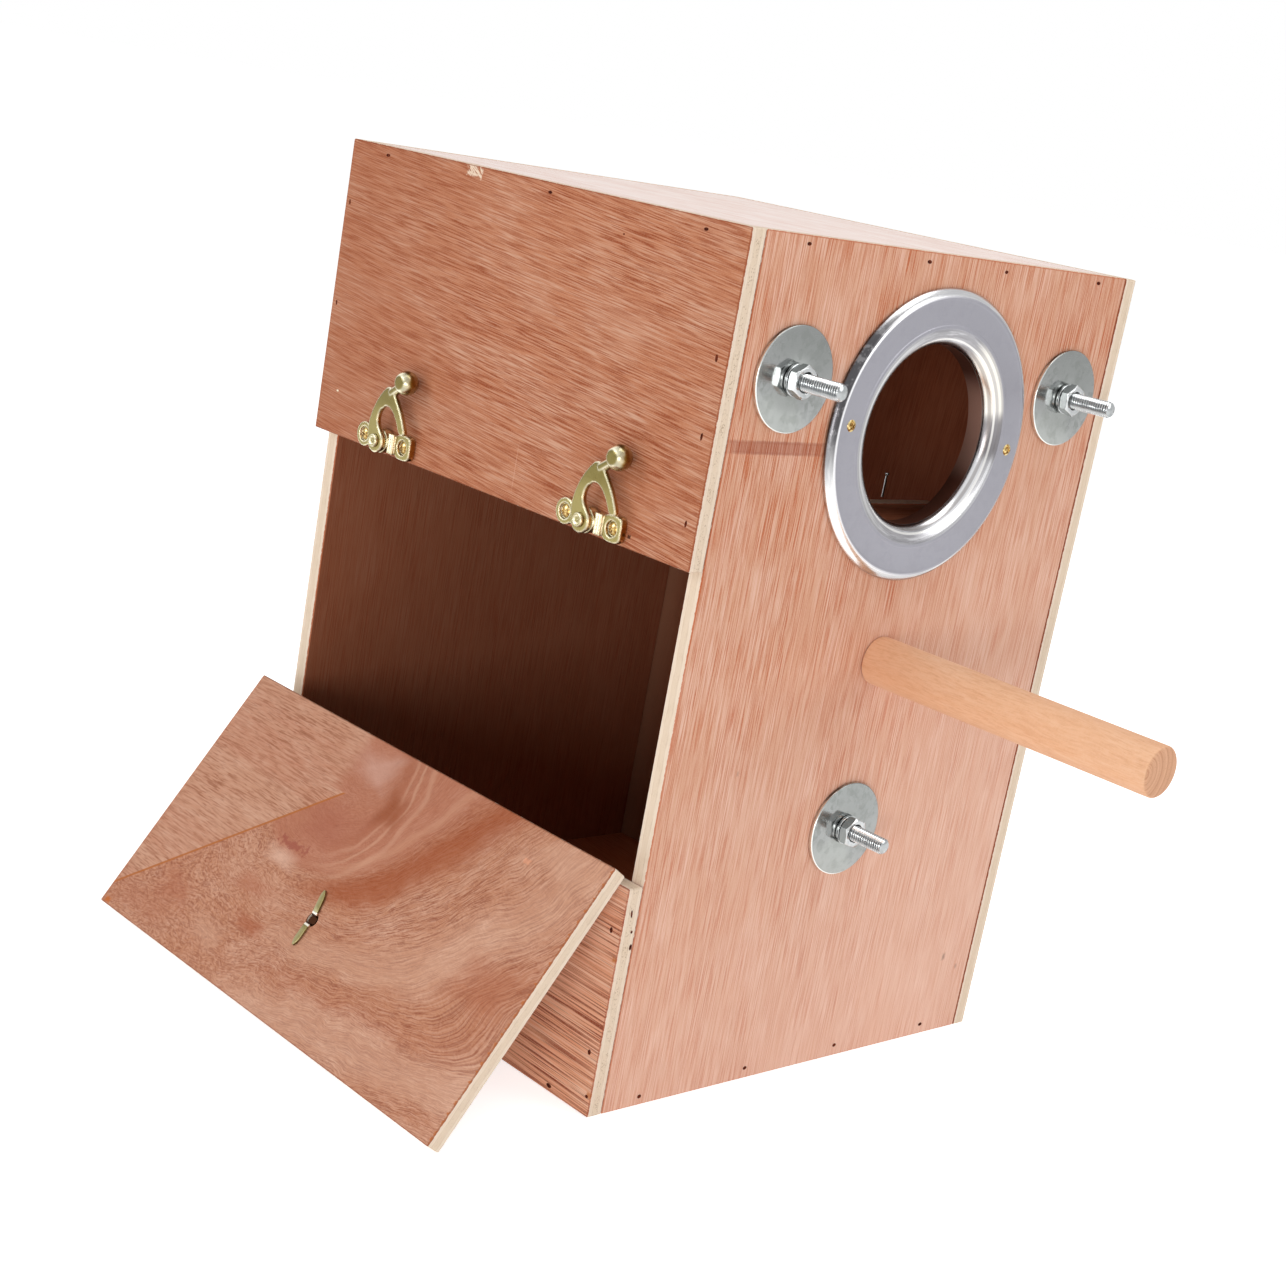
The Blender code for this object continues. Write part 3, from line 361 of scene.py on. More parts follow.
def spotted(place, tone, *rows, blend="MIX"):
    """Marks on a tone. A row is what `marked` takes, a share and a colour."""
    for *mark, share, colour in rows:
        tone = mix(marked(place, *mark) * share, tone, colour, blend)
    return tone


build_mark()
print("mark group made")

# %% [markdown]
# Each board now gets a material. It reads Object coordinates, turns them into the board's own
# directions with a Mapping node (X along the grain, Z through the thickness), shows the veneer
# where the surface faces along that Z, and the sawn edge where it doesn't. The faces inside the
# box get a painted shade: their colour is multiplied by a dark colour in place of the shadow in
# the box. A Bevel node rounds the sharp corners of the boards a little for the light, without any
# change to their shape.

# %% Materials and their frames
FRONT = Matrix(((1, 0, 0), (0, 0, -1), (0, 1, 0))).to_4x4()
DOOR_SIDE = Matrix(((0, 0, -1), (-1, 0, 0), (0, 1, 0))).to_4x4()
QUARTER = Matrix.Rotation(math.pi / 2, 4, "Z")
DOOR_OPEN = math.radians(145.16)
# Painted shade: the two colours below darken the faces inside the box in place of the shadow
# there, the first on most boards and the second, lighter, on the floor.
INSIDE_SHADE = (0.50, 0.33, 0.25, 1.0)
FLOOR_SHADE = (0.95, 0.72, 0.58, 1.0)


def new_material(name):
    """A material, and its object coordinates."""
    material = bpy.data.materials.new(name)
    material.use_nodes = True
    return material, node(material.node_tree, "ShaderNodeTexCoord", out="Object")


def show(material, **values):
    """Feeds the inputs of a material's shader."""
    feed_all(material.node_tree.nodes["Principled BSDF"], **values)


def own_place(material):
    """Where a point of a fitting is in the fitting's own frame."""
    return node(material.node_tree, "ShaderNodeAttribute", out="Vector", attribute_name="own")


def turned_to(vector, own, kind="POINT"):
    """Brings object-space places or directions into a piece's own directions."""
    back = own.inverted()
    values = {"Location": back.translation} if kind == "POINT" else {}
    return node(vector.tree, "ShaderNodeMapping", Vector=vector, Rotation=back.to_euler(),
                vector_type=kind, **values)


def bump(height, strength, distance, rounding=0.0):
    values = {"Height": height, "Strength": strength, "Distance": distance}
    if rounding:
        values["Normal"] = node(height.tree, "ShaderNodeBevel", Radius=rounding, samples=4)
    return node(height.tree, "ShaderNodeBump", **values)


def middle_of(name):
    low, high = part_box(name)
    return (low + high) / 2


def veneered(place, seed, lean=0.0, **wood):
    """The veneer group on a place whose grain leans by some degrees."""
    if lean:
        place = node(place.tree, "ShaderNodeVectorRotate", Vector=place,
                     Angle=math.radians(lean), rotation_type="Z_AXIS")
    return use("veneer", Vector=place, Seed=seed, **wood)


def plywood(name, own, seed, wood, speckle, marks=(), inside=0, figure=None, inside_shade=INSIDE_SHADE):
    """A board's material. `own` is the board's frame, in its middle, with X along the grain.
    `inside` is the sign of Z on the face that is inside the box; that face gets a painted shade,
    its colour multiplied by `inside_shade`."""
    material, coordinates = new_material(name)
    place = turned_to(coordinates, own)
    facing = turned_to(coordinates["Normal"], own, "VECTOR").split()[2]
    face = veneered(place, seed, **wood)
    edge = use("plywood edge", Vector=place, Speckle=speckle, Seed=seed,
               Face_Veneer=wood["Pore"])
    on_face = abs(facing).ease(0.6, 0.85)
    tone, height = face, face["Height"]
    if figure:
        tone, height = figure(place, tone, height)
    for mark in marks:
        tone = mark(place, tone)
    if inside:
        # Painted shade: the inside face is evened out and darkened by multiplying, for the box's
        # shadow.
        within = (facing * inside).ease(0.5, 0.9)
        tone = mix(within * 0.5, tone, wood["Base"])
        tone = mix(within, tone, inside_shade, "MULTIPLY")
    height = between(on_face, edge["Height"], height)
    show(material, Base_Color=mix(on_face, edge, tone), Specular_IOR_Level=0.18,
         Roughness=between(on_face, 0.8, face["Roughness"]),
         Normal=bump(height, 0.5, 0.12 * MM, 0.35 * MM))
    return material


def dress(name, material):
    frame["nodes"][name].material_slots[0].material = material


# %% Front and back boards
def dark_cross_band(place, tone):
    """A purple-brown band across the grain from the near edge to the entry ring."""
    tone = spotted(place, tone, (82.4, 73.5, 2.6, 30, 0.5, 0.5, 260.0, 0.5, (176, 110, 92)),
                   blend="MULTIPLY")
    return spotted(place, tone, *((height, 73, 0.7, 30, 0.9, 1.2, 420.0, 0.42, (150, 84, 66))
                                  for height in (84.2, 80.6)))


def front_light_and_spots(place, tone):
    """The board is paler and pinker toward its lower right, partly its own tone and partly
    painted light, and has a few handling marks.
    """
    x, y, _ = place.split()
    # Partly painted light: a broad paler, pinker tone toward the lower right.
    tone = mix((x * -0.8 + y * -0.6).ease(-90 * MM, 140 * MM, 0.0, 0.42), tone, (248, 210, 192))
    spots = ((-117.5, -79.2, 1.3, 0.5), (-123.0, -88.5, 0.9, 0.35), (-29.5, 61.0, 0.8, 0.3))
    return spotted(place, tone, *((x, y, half * 1.6, half, 0.8, 0.9, 700.0, dark, (120, 100, 92))
                                  for x, y, half, dark in spots))


FRONT_WOOD = dict(
    Base=(211, 159, 130), Streak=(204, 142, 108), Pale=(228, 187, 167), Pore=(186, 96, 52),
    Band_Width=6 * MM, Banding=0.4, Wander=0.12, Line_Length=30 * MM, Line_Pitch=0.66 * MM,
    Lines=0.88, Cloud=0.6,
)
for name, seed, marks, inside in (("front", 0.31, (dark_cross_band, front_light_and_spots), -1),
                                  ("back", 4.7, (), 1)):
    own = Matrix.Translation(middle_of(name + "_panel")) @ FRONT @ QUARTER
    dress(name + "_panel", plywood(name + " plywood", own, seed, FRONT_WOOD, 0.15, marks, inside))
print("front and back boards dressed")

# %% Side boards
def top_chip(place, tone):
    """The face veneer is splintered at the top edge, and the pale ply shows in streaks."""
    slant = node(place.tree, "ShaderNodeVectorRotate", Vector=place, Angle=math.radians(38),
                 rotation_type="Z_AXIS")
    splinter = (slant * (0.2, 1, 0)).noise(1300.0, 2.0, 0.6).ease(0.40, 0.52)
    chip = marked(place, -31.6, 53.6, 4.6, 3.4, 0.3, 1.3, 300.0)
    return mix(chip * splinter, tone, (240, 220, 196))


def upper_spots(place, tone):
    """Darker toward the rear, with a fleck of paint, a knock and a faint upright scratch."""
    tone = mix(place.split()[0].ease(20 * MM, -110 * MM, 0.0, 0.4), tone, (160, 98, 68))
    return spotted(place, tone,
                   (-93.6, -37.9, 0.7, 0.4, 0.4, 0.3, 400.0, 1.0, (240, 226, 200)),
                   (75.7, -50.2, 0.9, 0.8, 0.5, 0.9, 900.0, 0.9, (58, 28, 20)),
                   (14.5, -42, 0.25, 12, 0.9, 0.5, 500.0, 0.3, (232, 190, 165)))


def painted_light_at_rear_corner(place, tone):
    """The far wall's inner face is paler by its rear corner: painted light inside the box."""
    _, rear, deep = place.split()
    # Painted light near the rear corner of the inside face.
    near = rear.ease(78 * MM, 98 * MM, 0.0, 0.8) * deep.ease(1 * MM, 2 * MM)
    return mix(near, tone, (255, 236, 214))


def glue_spots(place, tone):
    """Orange glue that has soaked through at the nails of the lower panel."""
    return spotted(place, tone, (104.2, 16.2, 1.6, 1.28, 0.7, 0.9, 500.0, 0.75, (206, 122, 56)),
                   (104.0, -33.8, 1.8, 1.44, 0.7, 0.9, 500.0, 0.75, (206, 122, 56)))


SIDE_WOOD = dict(
    Base=(184, 120, 86), Streak=(174, 100, 62), Pale=(202, 156, 130), Pore=(144, 68, 34),
    Band_Width=24 * MM, Banding=0.5, Wander=0.4, Line_Length=20 * MM, Line_Pitch=0.62 * MM,
    Lines=0.88, Cloud=0.55, lean=5.5,
)
# The lower panel is its own bolder sheet, and partly painted light: its colours are raised to
# make up for the shade of the open door above it.
LOWER_WOOD_WITH_PAINTED_LIGHT = dict(
    Base=(243, 178, 140), Streak=(230, 154, 114), Pale=(254, 214, 186), Pore=(152, 68, 40),
    Band_Width=12 * MM, Banding=0.4, Wander=0.35, Line_Length=60 * MM, Line_Pitch=0.95 * MM,
    Lines=0.95, Cloud=0.4, lean=0.8,
)
# Painted light: the roof takes the front's veneer in much paler colours, for the strong light on
# its top.
ROOF_WOOD_PAINTED_LIT = dict(FRONT_WOOD, Base=(243, 226, 219), Streak=(238, 214, 204),
                 Pale=(249, 240, 236), Pore=(226, 192, 178))
UPRIGHT = DOOR_SIDE @ QUARTER
LEVEL = Matrix.Identity(4)
for name, seed, wood, turn, speckle, inside, marks, inside_shade in (
    ("door_side_upper_panel", 1.13, SIDE_WOOD, DOOR_SIDE, 0.9, -1, (top_chip, upper_spots),
     INSIDE_SHADE),
    ("door_side_lower_panel", 2.57, LOWER_WOOD_WITH_PAINTED_LIGHT, DOOR_SIDE, 0.9, -1, (glue_spots,), INSIDE_SHADE),
    ("closed_side_panel", 3.91, SIDE_WOOD, UPRIGHT, 0.2, 1, (painted_light_at_rear_corner,), INSIDE_SHADE),
    ("roof_panel", 5.3, ROOF_WOOD_PAINTED_LIT, QUARTER, 0.6, -1, (), INSIDE_SHADE),
    ("floor_panel", 6.1, SIDE_WOOD, QUARTER, 0.6, 1, (), FLOOR_SHADE),
    ("landing_step", 7.7, FRONT_WOOD, LEVEL, 0.6, 1, (), INSIDE_SHADE),
    ("landing_step_lip", 8.9, FRONT_WOOD, FRONT, 0.6, 1, (), INSIDE_SHADE),
):
    own = Matrix.Translation(middle_of(name)) @ turn
    dress(name, plywood(name.replace("_", " "), own, seed, wood, speckle, marks, inside,
                        inside_shade=inside_shade))
print("side boards, roof, floor and step dressed")

# %% [markdown]
# The door's inner face is cut where the trunk forked. Its grain turns in rings about a heart
# by the hinges and straightens out toward the free edge, with a broad dark band between. The
# distance from a point below the board is the field across the grain. Bent by noise, it places
# the bands, and gives the veneer group its direction. Left of a glue seam, the sheet was
# patched with plain veneer.

# %% Door
door_frame = (
    Matrix.Translation((-0.1046, 0, 0.0858)) @ DOOR_SIDE @ Matrix.Rotation(DOOR_OPEN, 4, "X")
)
door_middle = door_frame.inverted() @ middle_of("door_panel")
print("door's middle in its own frame", [round(x / MM, 1) for x in door_middle])
SWIRL = (-8 * MM, -84 * MM, 0.0)
HEART = (-25 * MM, -33 * MM, 0.0)
SWIRL_REACH = 95 * MM

DOOR_PLAIN = dict(
    Base=(194, 142, 114), Streak=(184, 120, 92), Pale=(208, 164, 140), Pore=(146, 86, 58),
    Band_Width=16 * MM, Banding=0.6, Wander=0.6, Line_Length=10 * MM, Line_Pitch=0.9 * MM,
    Lines=0.6, Cloud=0.5,
)
DOOR_FIGURE = dict(
    Base=(188, 130, 98), Streak=(170, 102, 70), Pale=(214, 170, 146), Pore=(136, 68, 42),
    Band_Width=8 * MM, Banding=0.5, Wander=0.6, Line_Length=9 * MM, Line_Pitch=0.8 * MM,
    Lines=0.8, Cloud=0.8,
)
DOOR_CURLS = dict(DOOR_FIGURE, Line_Length=2.4 * MM, Line_Pitch=1.0 * MM, Wander=1.0,
                  Banding=0.3)


def bent(place, scale, amount):
    """Moves each place a little by a noise, so that drawn curves look grown."""
    wave = (place * (1, 1, 0)).noise(scale)["Color"] - (0.5, 0.5, 0.5)
    return place + wave * (amount, amount, 0.0)


def from_middle(place, middle):
    """How far a place is from a middle, and its two parts."""
    x, y, _ = (place - middle).split()
    return calc("LENGTH", join(x, y)), x, y


def swirl_field(place):
    """Along and across the grain: rings about a middle below the board, closer together at
    the left, which straighten out toward the free edge."""
    reach, x, y = from_middle(place, SWIRL)
    along = calc("ARCTAN2", y, x) * SWIRL_REACH
    ridge = along.ease(math.radians(35) * SWIRL_REACH, math.radians(105) * SWIRL_REACH,
                       67 * MM, 93 * MM)
    field = (reach - ridge) * (38 * MM / (111 * MM - ridge))
    x, y, _ = place.split()
    corner = y.ease(2 * MM, 40 * MM)
    return (between(corner, along, 141 * MM - x),
            between(corner, field, y * 1.49 + x * 0.2 + 2 * MM))


def plume(place, plain, height):
    grown = bent(bent(place, 20.0, 14 * MM), 90.0, 3.5 * MM)
    along, field = swirl_field(grown)
    radius, _, _ = from_middle(grown, HEART)
    right = grown.split()[0].ease(-26 * MM, 6 * MM)
    x, y, _ = place.split()
    figure = veneered(join(along, field), 9.4, **DOOR_FIGURE)
    curly = veneered(bent(grown, 150.0, 6 * MM), 3.3, **DOOR_CURLS)
    tone = overlay(figure, (x.ease(-30 * MM, 25 * MM, 0.6, 0.25), curly),
                   (field.ease(-4 * MM, -14 * MM, 0.0, 0.7), (176, 110, 84)))
    for value, middle, half, share, colour in (
        (field, 0, 11, 0.75, (154, 74, 34)), (field, -15, 3, 0.35, (204, 152, 122)),
        (field, 38, 12, 0.35, (214, 170, 144)), (field, 58, 7, 0.15, (168, 96, 64)),
        (field, 76, 14, 0.35, (216, 174, 150)), (radius, 29, 1.2, 0.5, (206, 154, 126)),
        (radius, 33.5, 0.9, 0.55, (206, 156, 128)), (radius, 25, 4, 0.5, (162, 92, 62)),
        (radius, 39, 1.6, 0.4, (208, 158, 130)),
    ):
        band = value.near(middle * MM, half * 0.1 * MM, half * 1.25 * MM, share)
        tone = mix(band * right, tone, colour)
    clouds = (
        (-33, 2.5, 14, 5, 0.65, (222, 180, 158)), (-20, -43, 14, 9, 0.7, (208, 162, 144)),
        (-20, -17, 20, 12, 0.5, (164, 94, 72)), (-85, 44, 22, 8, 0.3, (172, 108, 84)),
        (2, -33, 8, 9, 0.8, (150, 80, 48)), (-70, 33, 16, 9, 0.5, (168, 98, 70)),
        (-26, 29, 11, 4, 0.6, (164, 88, 56)), (-35, 16, 17, 5, 0.5, (168, 96, 66)),
        (-45, 40, 14, 8, 0.4, (212, 166, 140)), (86, 2, 24, 15, 0.5, (168, 98, 68)),
        (84, -46, 24, 7, 0.4, (206, 158, 132)),
    )
    tone = spotted(place, tone, *((*size, 0.95, 1.4, 50.0, share, colour)
                                  for *size, share, colour in clouds),
                   (-31, -3.4, 7, 1.7, 0.5, 5.0, 420.0, 0.6, (150, 72, 60)),
                   (70.5, -41, 2, 1.2, 0.6, 1.6, 800.0, 0.5, (232, 160, 124)))

    start, stop = Vector((-102.1, 42.6)) * MM, Vector((-25.0, -29.6)) * MM
    way = (stop - start).normalized()
    aside = (x - start.x) * way.y + (start.y - y) * way.x
    past = y.ease(-29.8 * MM, -29.2 * MM)
    below = x.ease(-36 * MM, -26 * MM, 1.0, 0.0) * (1.0 - past)
    patch = calc("MAXIMUM", aside.ease(-0.1 * MM, 0.1 * MM) * past, below)
    seam = aside.near(0.0, 0.25 * MM, 0.7 * MM) * past
    tone = overlay(tone, (patch, plain), (seam * 0.9, (176, 102, 50)))
    reach = join(y=y).noise(420.0, 3.0, 0.7).ease(0.42, 0.68, 0.1 * MM, 1.5 * MM)
    for end, share in ((x, 0.85), (x * -1.0, 0.4)):
        rim = (end - 105 * MM + reach).ease(0.0, 0.3 * MM, 0.0, share)
        tone = mix(rim, tone, (188, 106, 54))
    tone = spotted(place, tone, (-101, 51.5, 2.4, 1.6, 0.6, 1.0, 500.0, 0.9, (190, 104, 46)))
    return tone, between(patch, figure["Height"], height)


dress("door_panel", plywood("figured door plywood", door_frame @ Matrix.Translation(door_middle),
                            6.6, DOOR_PLAIN, 0.25, figure=plume))
print("door dressed")

# %% [markdown]
# The fittings are bright metal. A polished surface takes its look from what it reflects: in a
# studio these are the bright softboxes, the darker room between them and the wood nearby. A
# plain white surround would leave all of them white, so the group paints that room by the
# direction in which the surface faces: flat faces keep an even tone, and rounded edges, rods
# and balls pass through bright and dark bands. Cloudy plating, fine scratches that run every
# way and a roughness that changes from place to place make it real.

# %% Plated and polished metal, as a node group
def build_metal():
    g, sink = group("plated metal", ("Color", "Roughness", "Height"), Vector=(0, 0, 0),
                    Facing=(0, 0, 1), Room=0.0, Edge=0.0, Tone=paint(170, 170, 175),
                    Shine=paint(240, 240, 240), Shade=paint(80, 80, 80),
                    Tarnish=paint(130, 130, 130), Contrast=0.7, Mottle=0.3, Polish=0.25,
                    Haze=0.12, Scratch=0.3)
    cloud = g.Vector.noise(160.0, 4.0, 0.65)
    spangle = g.Vector.cells(420.0)["Color"].split()
    dull = (cloud * 0.8 + spangle * 0.2).ease(0.42, 0.68) * g.Mottle
    first, second, third = ((g.Vector * way).noise(3200.0, 0.0).ease(0.68, 0.74)
                            for way in ((1, 0.03, 1), (0.04, 1, 0.7), (0.6, 0.8, 0.03)))
    marks = calc("MAXIMUM", calc("MAXIMUM", first, second), third) * g.Scratch
    # Painted reflection: a noise over the facing direction gives rounded faces bright and dark
    # bands, and flat faces keep their tone. The edge share paints a highlight on eased edges that
    # face up.
    room = (g.Facing + join(g.Room)).noise(1.9, 1.5)
    _, up, out = g.Facing.split()
    swing = out.ease(0.78, 0.97, 1.0, 0.0) * g.Contrast
    tone = overlay(g.Tone, (dull, g.Tarnish), (swing * room.ease(0.46, 0.58), g.Shine),
                   (swing * room.ease(0.34, 0.44, 1.0, 0.0), g.Shade),
                   (g.Edge * up.ease(-0.5, 0.1, 0.25, 0.9), g.Shine), (marks * 0.25, g.Tarnish))
    feed_all(sink, Color=tone, Roughness=g.Polish + dull * g.Haze + marks * 0.15,
             Height=cloud * 0.3 - marks)


def plated(name, own=None, rounding=0.0, **values):
    """A metal material, its group and the direction it faces. `own` is the frame whose Z
    points out of the flat faces. `rounding` is how wide the eased edges are: a Bevel node rounds
    their shading, and a highlight is painted on them."""
    material, coordinates = new_material(name)
    facing, edge = coordinates["Normal"], 0.0
    if rounding:
        eased = node(material.node_tree, "ShaderNodeBevel", Radius=rounding, samples=6)
        eased = node(eased.tree, "ShaderNodeVectorTransform", {0: eased}, vector_type="NORMAL",
                     convert_from="WORLD", convert_to="OBJECT")
        edge = calc("DOT_PRODUCT", eased, facing).ease(0.995, 0.93)
        facing = eased
    facing = turned_to(facing, own, "VECTOR") if own else facing
    made = use("plated metal", Vector=coordinates, Facing=facing, Edge=edge, **values)
    show(material, Metallic=1.0, Base_Color=made, Roughness=made["Roughness"],
         Normal=bump(made["Height"], 0.12, 0.05 * MM, rounding))
    return material, made, facing


build_metal()
BRASS = dict(
    Tone=(150, 138, 88), Shine=(255, 248, 214), Shade=(76, 58, 20), Tarnish=(134, 118, 68),
    Contrast=0.95, Mottle=0.4, Polish=0.2, Haze=0.12, Scratch=0.25,
)
SCREW_BRASS = dict(BRASS, Tone=(168, 134, 74), Shine=(232, 210, 150), Shade=(96, 58, 20),
                   Tarnish=(126, 88, 42))
PIN_BRASS = dict(BRASS, Tone=(126, 116, 76), Shine=(206, 198, 160), Tarnish=(100, 90, 56),
                 Contrast=0.5, Mottle=0.6, Polish=0.34)
ZINC = dict(
    Tone=(172, 175, 176), Shine=(240, 242, 242), Shade=(66, 70, 72), Tarnish=(132, 138, 138),
    Contrast=1.0, Mottle=0.35, Polish=0.14, Haze=0.1, Scratch=0.25,
)
NUT_ZINC = dict(ZINC, Tone=(192, 194, 195), Shine=(222, 224, 224), Shade=(92, 96, 98),
                Contrast=0.8, Polish=0.1)
WASHER_ZINC = dict(ZINC, Tone=(152, 154, 153), Shine=(222, 226, 222), Shade=(64, 66, 66),
                   Tarnish=(130, 133, 130), Contrast=0.9, Mottle=0.75, Polish=0.13, Haze=0.12,
                   Scratch=0.3)
bright_zinc, _, _ = plated("bright zinc", FRONT, 0.25 * MM, Room=0.7, **ZINC)
bright_nut, _, _ = plated("bright nuts", FRONT, 0.3 * MM, Room=2.9, **NUT_ZINC)
brass, _, _ = plated("polished brass", DOOR_SIDE, 0.3 * MM, **BRASS)
door_brass, _, _ = plated("polished brass on the door", door_frame, 0.3 * MM, **BRASS)
screw_brass, _, _ = plated("brass screws", None, 0.2 * MM, **SCREW_BRASS)
print("metals mixed")

# %% Brass with painted reflections, and the split pin
def brass_with_painted_light(name, own):
    """Latches with painted reflections: the orange of the wood beside them on their right-hand
    sides, a dark band on their upper part, and painted highlights on their lower sides and on
    the sloping rims of their flats.
    """
    material, made, facing = plated(name, own, 1.0 * MM, Room=2.3, **BRASS)
    x, y, z = facing.split()
    high = own_place(material).split()[1].ease(7 * MM, 17 * MM, 0.0, 0.5)
    slope = z.ease(0.985, 0.8) * z.ease(0.3, 0.6) * x.ease(0.4, 0.0, 0.35, 0.95)
    # Painted reflection and painted highlight, laid over the metal's own tone.
    show(material, Base_Color=overlay(
        made, (x.ease(0.55, 0.95) * 0.7, (170, 112, 44)),
        (y.ease(-0.35, -0.8) * 0.5, (248, 240, 200)), (high, (92, 80, 34)),
        (slope, (255, 250, 222))))
    return material


def pin_brass():
    """Dull legs; bright bends where the strip was folded round the hole, polished and partly a
    painted highlight; and a painted shade, dark brown, on the middle between the legs.
    """
    material, made, _ = plated("split pin brass", door_frame, **PIN_BRASS)
    up = abs(own_place(material).split()[1])
    fold_highlight = up.ease(2.6 * MM, 3.0 * MM, 1.0, 0.0)
    # Painted shade in the middle for the gap between the legs; painted highlight on the bends.
    tone = mix(up.ease(1.9 * MM, 2.2 * MM), (72, 42, 26), mix(fold_highlight, made, (244, 240, 226)))
    show(material, Base_Color=tone, Roughness=between(fold_highlight, made["Roughness"], 0.12))
    return material


latch_brass = brass_with_painted_light("cast latch brass", DOOR_SIDE)
dull_brass = pin_brass()

# %% [markdown]
# The penny washers are smooth enough to mirror their bolts, and a little cloudy. Their reflection
# is also painted: a darker upper side, a lighter lower side and a bright line along the lower
# left of the rim. The entry ring is pressed from sheet steel. Its flat is brushed and greyish,
# while its outer skirt and the roll into the hole are polished by the press tool. What they
# mirror is painted
# into their colour round the ring: white where they would face the softboxes, nearly black where
# they would face the dark of the room, and the brown of the wood in shade inside the collar, with
# painted highlights on the crest and along the roll. `wedge` masks one side of a round piece.

# %% Zinc of the washers and steel of the entry ring
def about_axis(material):
    """How far a point of a turned piece is from the axis, its direction about it, and Z."""
    x, y, z = own_place(material).split()
    far = calc("LENGTH", join(x, y))
    safe = calc("MAXIMUM", far, 1 * MM)
    return far, (x / safe, y / safe), z


def wedge(around, degrees, spread, share):
    turn, spread = math.radians(degrees), math.radians(spread)
    aim = around[0] * math.cos(turn) + around[1] * math.sin(turn)
    return aim.ease(math.cos(spread), math.cos(spread * 0.4), 0.0, share)


def wedged(tone, around, *rows):
    return overlay(tone, *((wedge(around, *row), colour) for *row, colour in rows))


def washer_zinc():
    material, made, _ = plated("turned zinc", FRONT, 0.25 * MM, Room=1.1, **WASHER_ZINC)
    far, around, _ = about_axis(material)
    # Painted reflection: darker toward the top, lighter toward the lower left.
    tone = wedged(made, around, (75, 80, 0.35, (128, 132, 129)), (250, 60, 0.3, (176, 180, 174)))
    # A painted highlight along the lower left of the rim.
    rim = far.ease(17.0 * MM, 17.2 * MM) * wedge(around, 215, 80, 0.9)
    show(material, Base_Color=mix(rim, tone, (234, 236, 232)))
    return material


def ring_steel():
    material, made, _ = plated("pressed steel", FRONT, Tone=(150, 149, 156), Contrast=0.0,
                               Shine=(236, 236, 234), Shade=(120, 119, 121), Mottle=0.4,
                               Tarnish=(143, 142, 149), Polish=0.36, Haze=0.08, Scratch=0.3)
    far, around, depth = about_axis(material)
    streak = join(around[0] * (3 * MM), around[1] * (3 * MM), far).noise(1100.0, 3.0, 0.65)
    blot = node(far.tree, "ShaderNodeTexCoord", out="Object").noise(240.0, 3.0, 0.7)
    # Painted reflection: the skirt and the roll get bright and dark tones by their angle round
    # the ring and their radius, with painted highlights on the crest and along the roll.
    skirt = wedged(
        mix(streak.ease(0.4, 0.6), (176, 176, 178), (206, 206, 206)), around,
        (92, 36, 0.7, (192, 192, 194)), (160, 40, 0.95, (74, 72, 75)),
        (226, 34, 0.9, (236, 236, 235)), (262, 24, 0.4, (196, 194, 194)))
    skirt = mix(blot.ease(0.5, 0.6) * wedge(around, 152, 44, 0.6), skirt, (150, 148, 150))
    roll = wedged(
        mix(streak.ease(0.42, 0.62), (150, 149, 152), (184, 183, 186)), around,
        (36, 34, 0.85, (232, 228, 218)), (-42, 40, 0.8, (228, 228, 230)),
        (2, 16, 0.85, (112, 108, 110)), (180, 74, 0.7, (206, 206, 205)))
    roll = overlay(roll, *(
        (far.near(middle * MM, half * 0.4 * MM, half * MM, share), colour)
        for middle, half, share, colour in (
            (37.0, 0.6, 0.5, (128, 127, 131)), (34.9, 0.8, 0.5, (136, 134, 137)),
            (33.9, 0.5, 0.6, (244, 242, 238)), (32.6, 0.6, 0.55, (128, 120, 116)))))
    outer, inner = far.ease(48.4 * MM, 48.7 * MM), far.ease(37.1 * MM, 37.8 * MM)
    crest = far.near(48.4 * MM, 0.2 * MM, 0.55 * MM) * wedge(around, 185, 110, 0.65)
    tone = mix(inner, roll, overlay(made, (outer, skirt), (crest, (246, 246, 247))))
    # Painted reflection in the collar: brown, lighter on one side, for the wood in shade that it
    # would mirror.
    deep = depth.ease(-1.6 * MM, -0.9 * MM)
    collar = mix(wedge(around, 8, 40, 0.7), (96, 60, 48), (190, 150, 134))
    rough = between(calc("MAXIMUM", outer, 1.0 - inner), made["Roughness"], 0.22)
    show(material, Base_Color=mix(deep, collar, tone), Roughness=between(deep, 0.6, rough))
    return material


zinc = washer_zinc()
steel = ring_steel()
print("washer zinc and ring steel mixed")

# %% [markdown]
# Round fittings are turned: an outline of radii and heights is carried round an axis. A real
# edge is never perfectly sharp, so `soften` first rounds the outline's corners, and the lamp
# then draws a thin bright line along each. `piece` ends the making of every fitting: it
# cleans the mesh, puts it in place and lets it ride on its body. All sizes are millimetres.

# %% Helpers for turned and cut pieces
def soften(outline, radius, steps=3):
    """Replaces each corner of an outline with a small arc."""
    points = [Vector(point) for point in outline]
    result = []
    for i, corner in enumerate(points):
        before, after = points[i - 1] - corner, points[(i + 1) % len(points)] - corner
        cut = min(radius, before.length * 0.45, after.length * 0.45)
        start = corner + before.normalized() * cut
        stop = corner + after.normalized() * cut
        for step in range(steps + 1):
            t = step / steps
            bend = start * (1 - t) ** 2 + corner * 2 * t * (1 - t) + stop * t * t
            result.append(tuple(bend))
    return result


def polar(radius, angle, z=0.0):
    return radius * math.cos(angle), radius * math.sin(angle), z


def skin(rows, closed=True):
    """Joins rows of points, each a loop, into a tube that closes on itself or has two ends."""
    shape = bmesh.new()
    rows = [[shape.verts.new(Vector(point) * MM) for point in row] for row in rows]
    for row, after in zip(rows, rows[1:] + rows[:closed]):
        for i in range(len(row)):
            shape.faces.new((row[i - 1], row[i], after[i], after[i - 1]))
    if not closed:
        shape.faces.new(rows[0])
        shape.faces.new(rows[-1])
    return shape


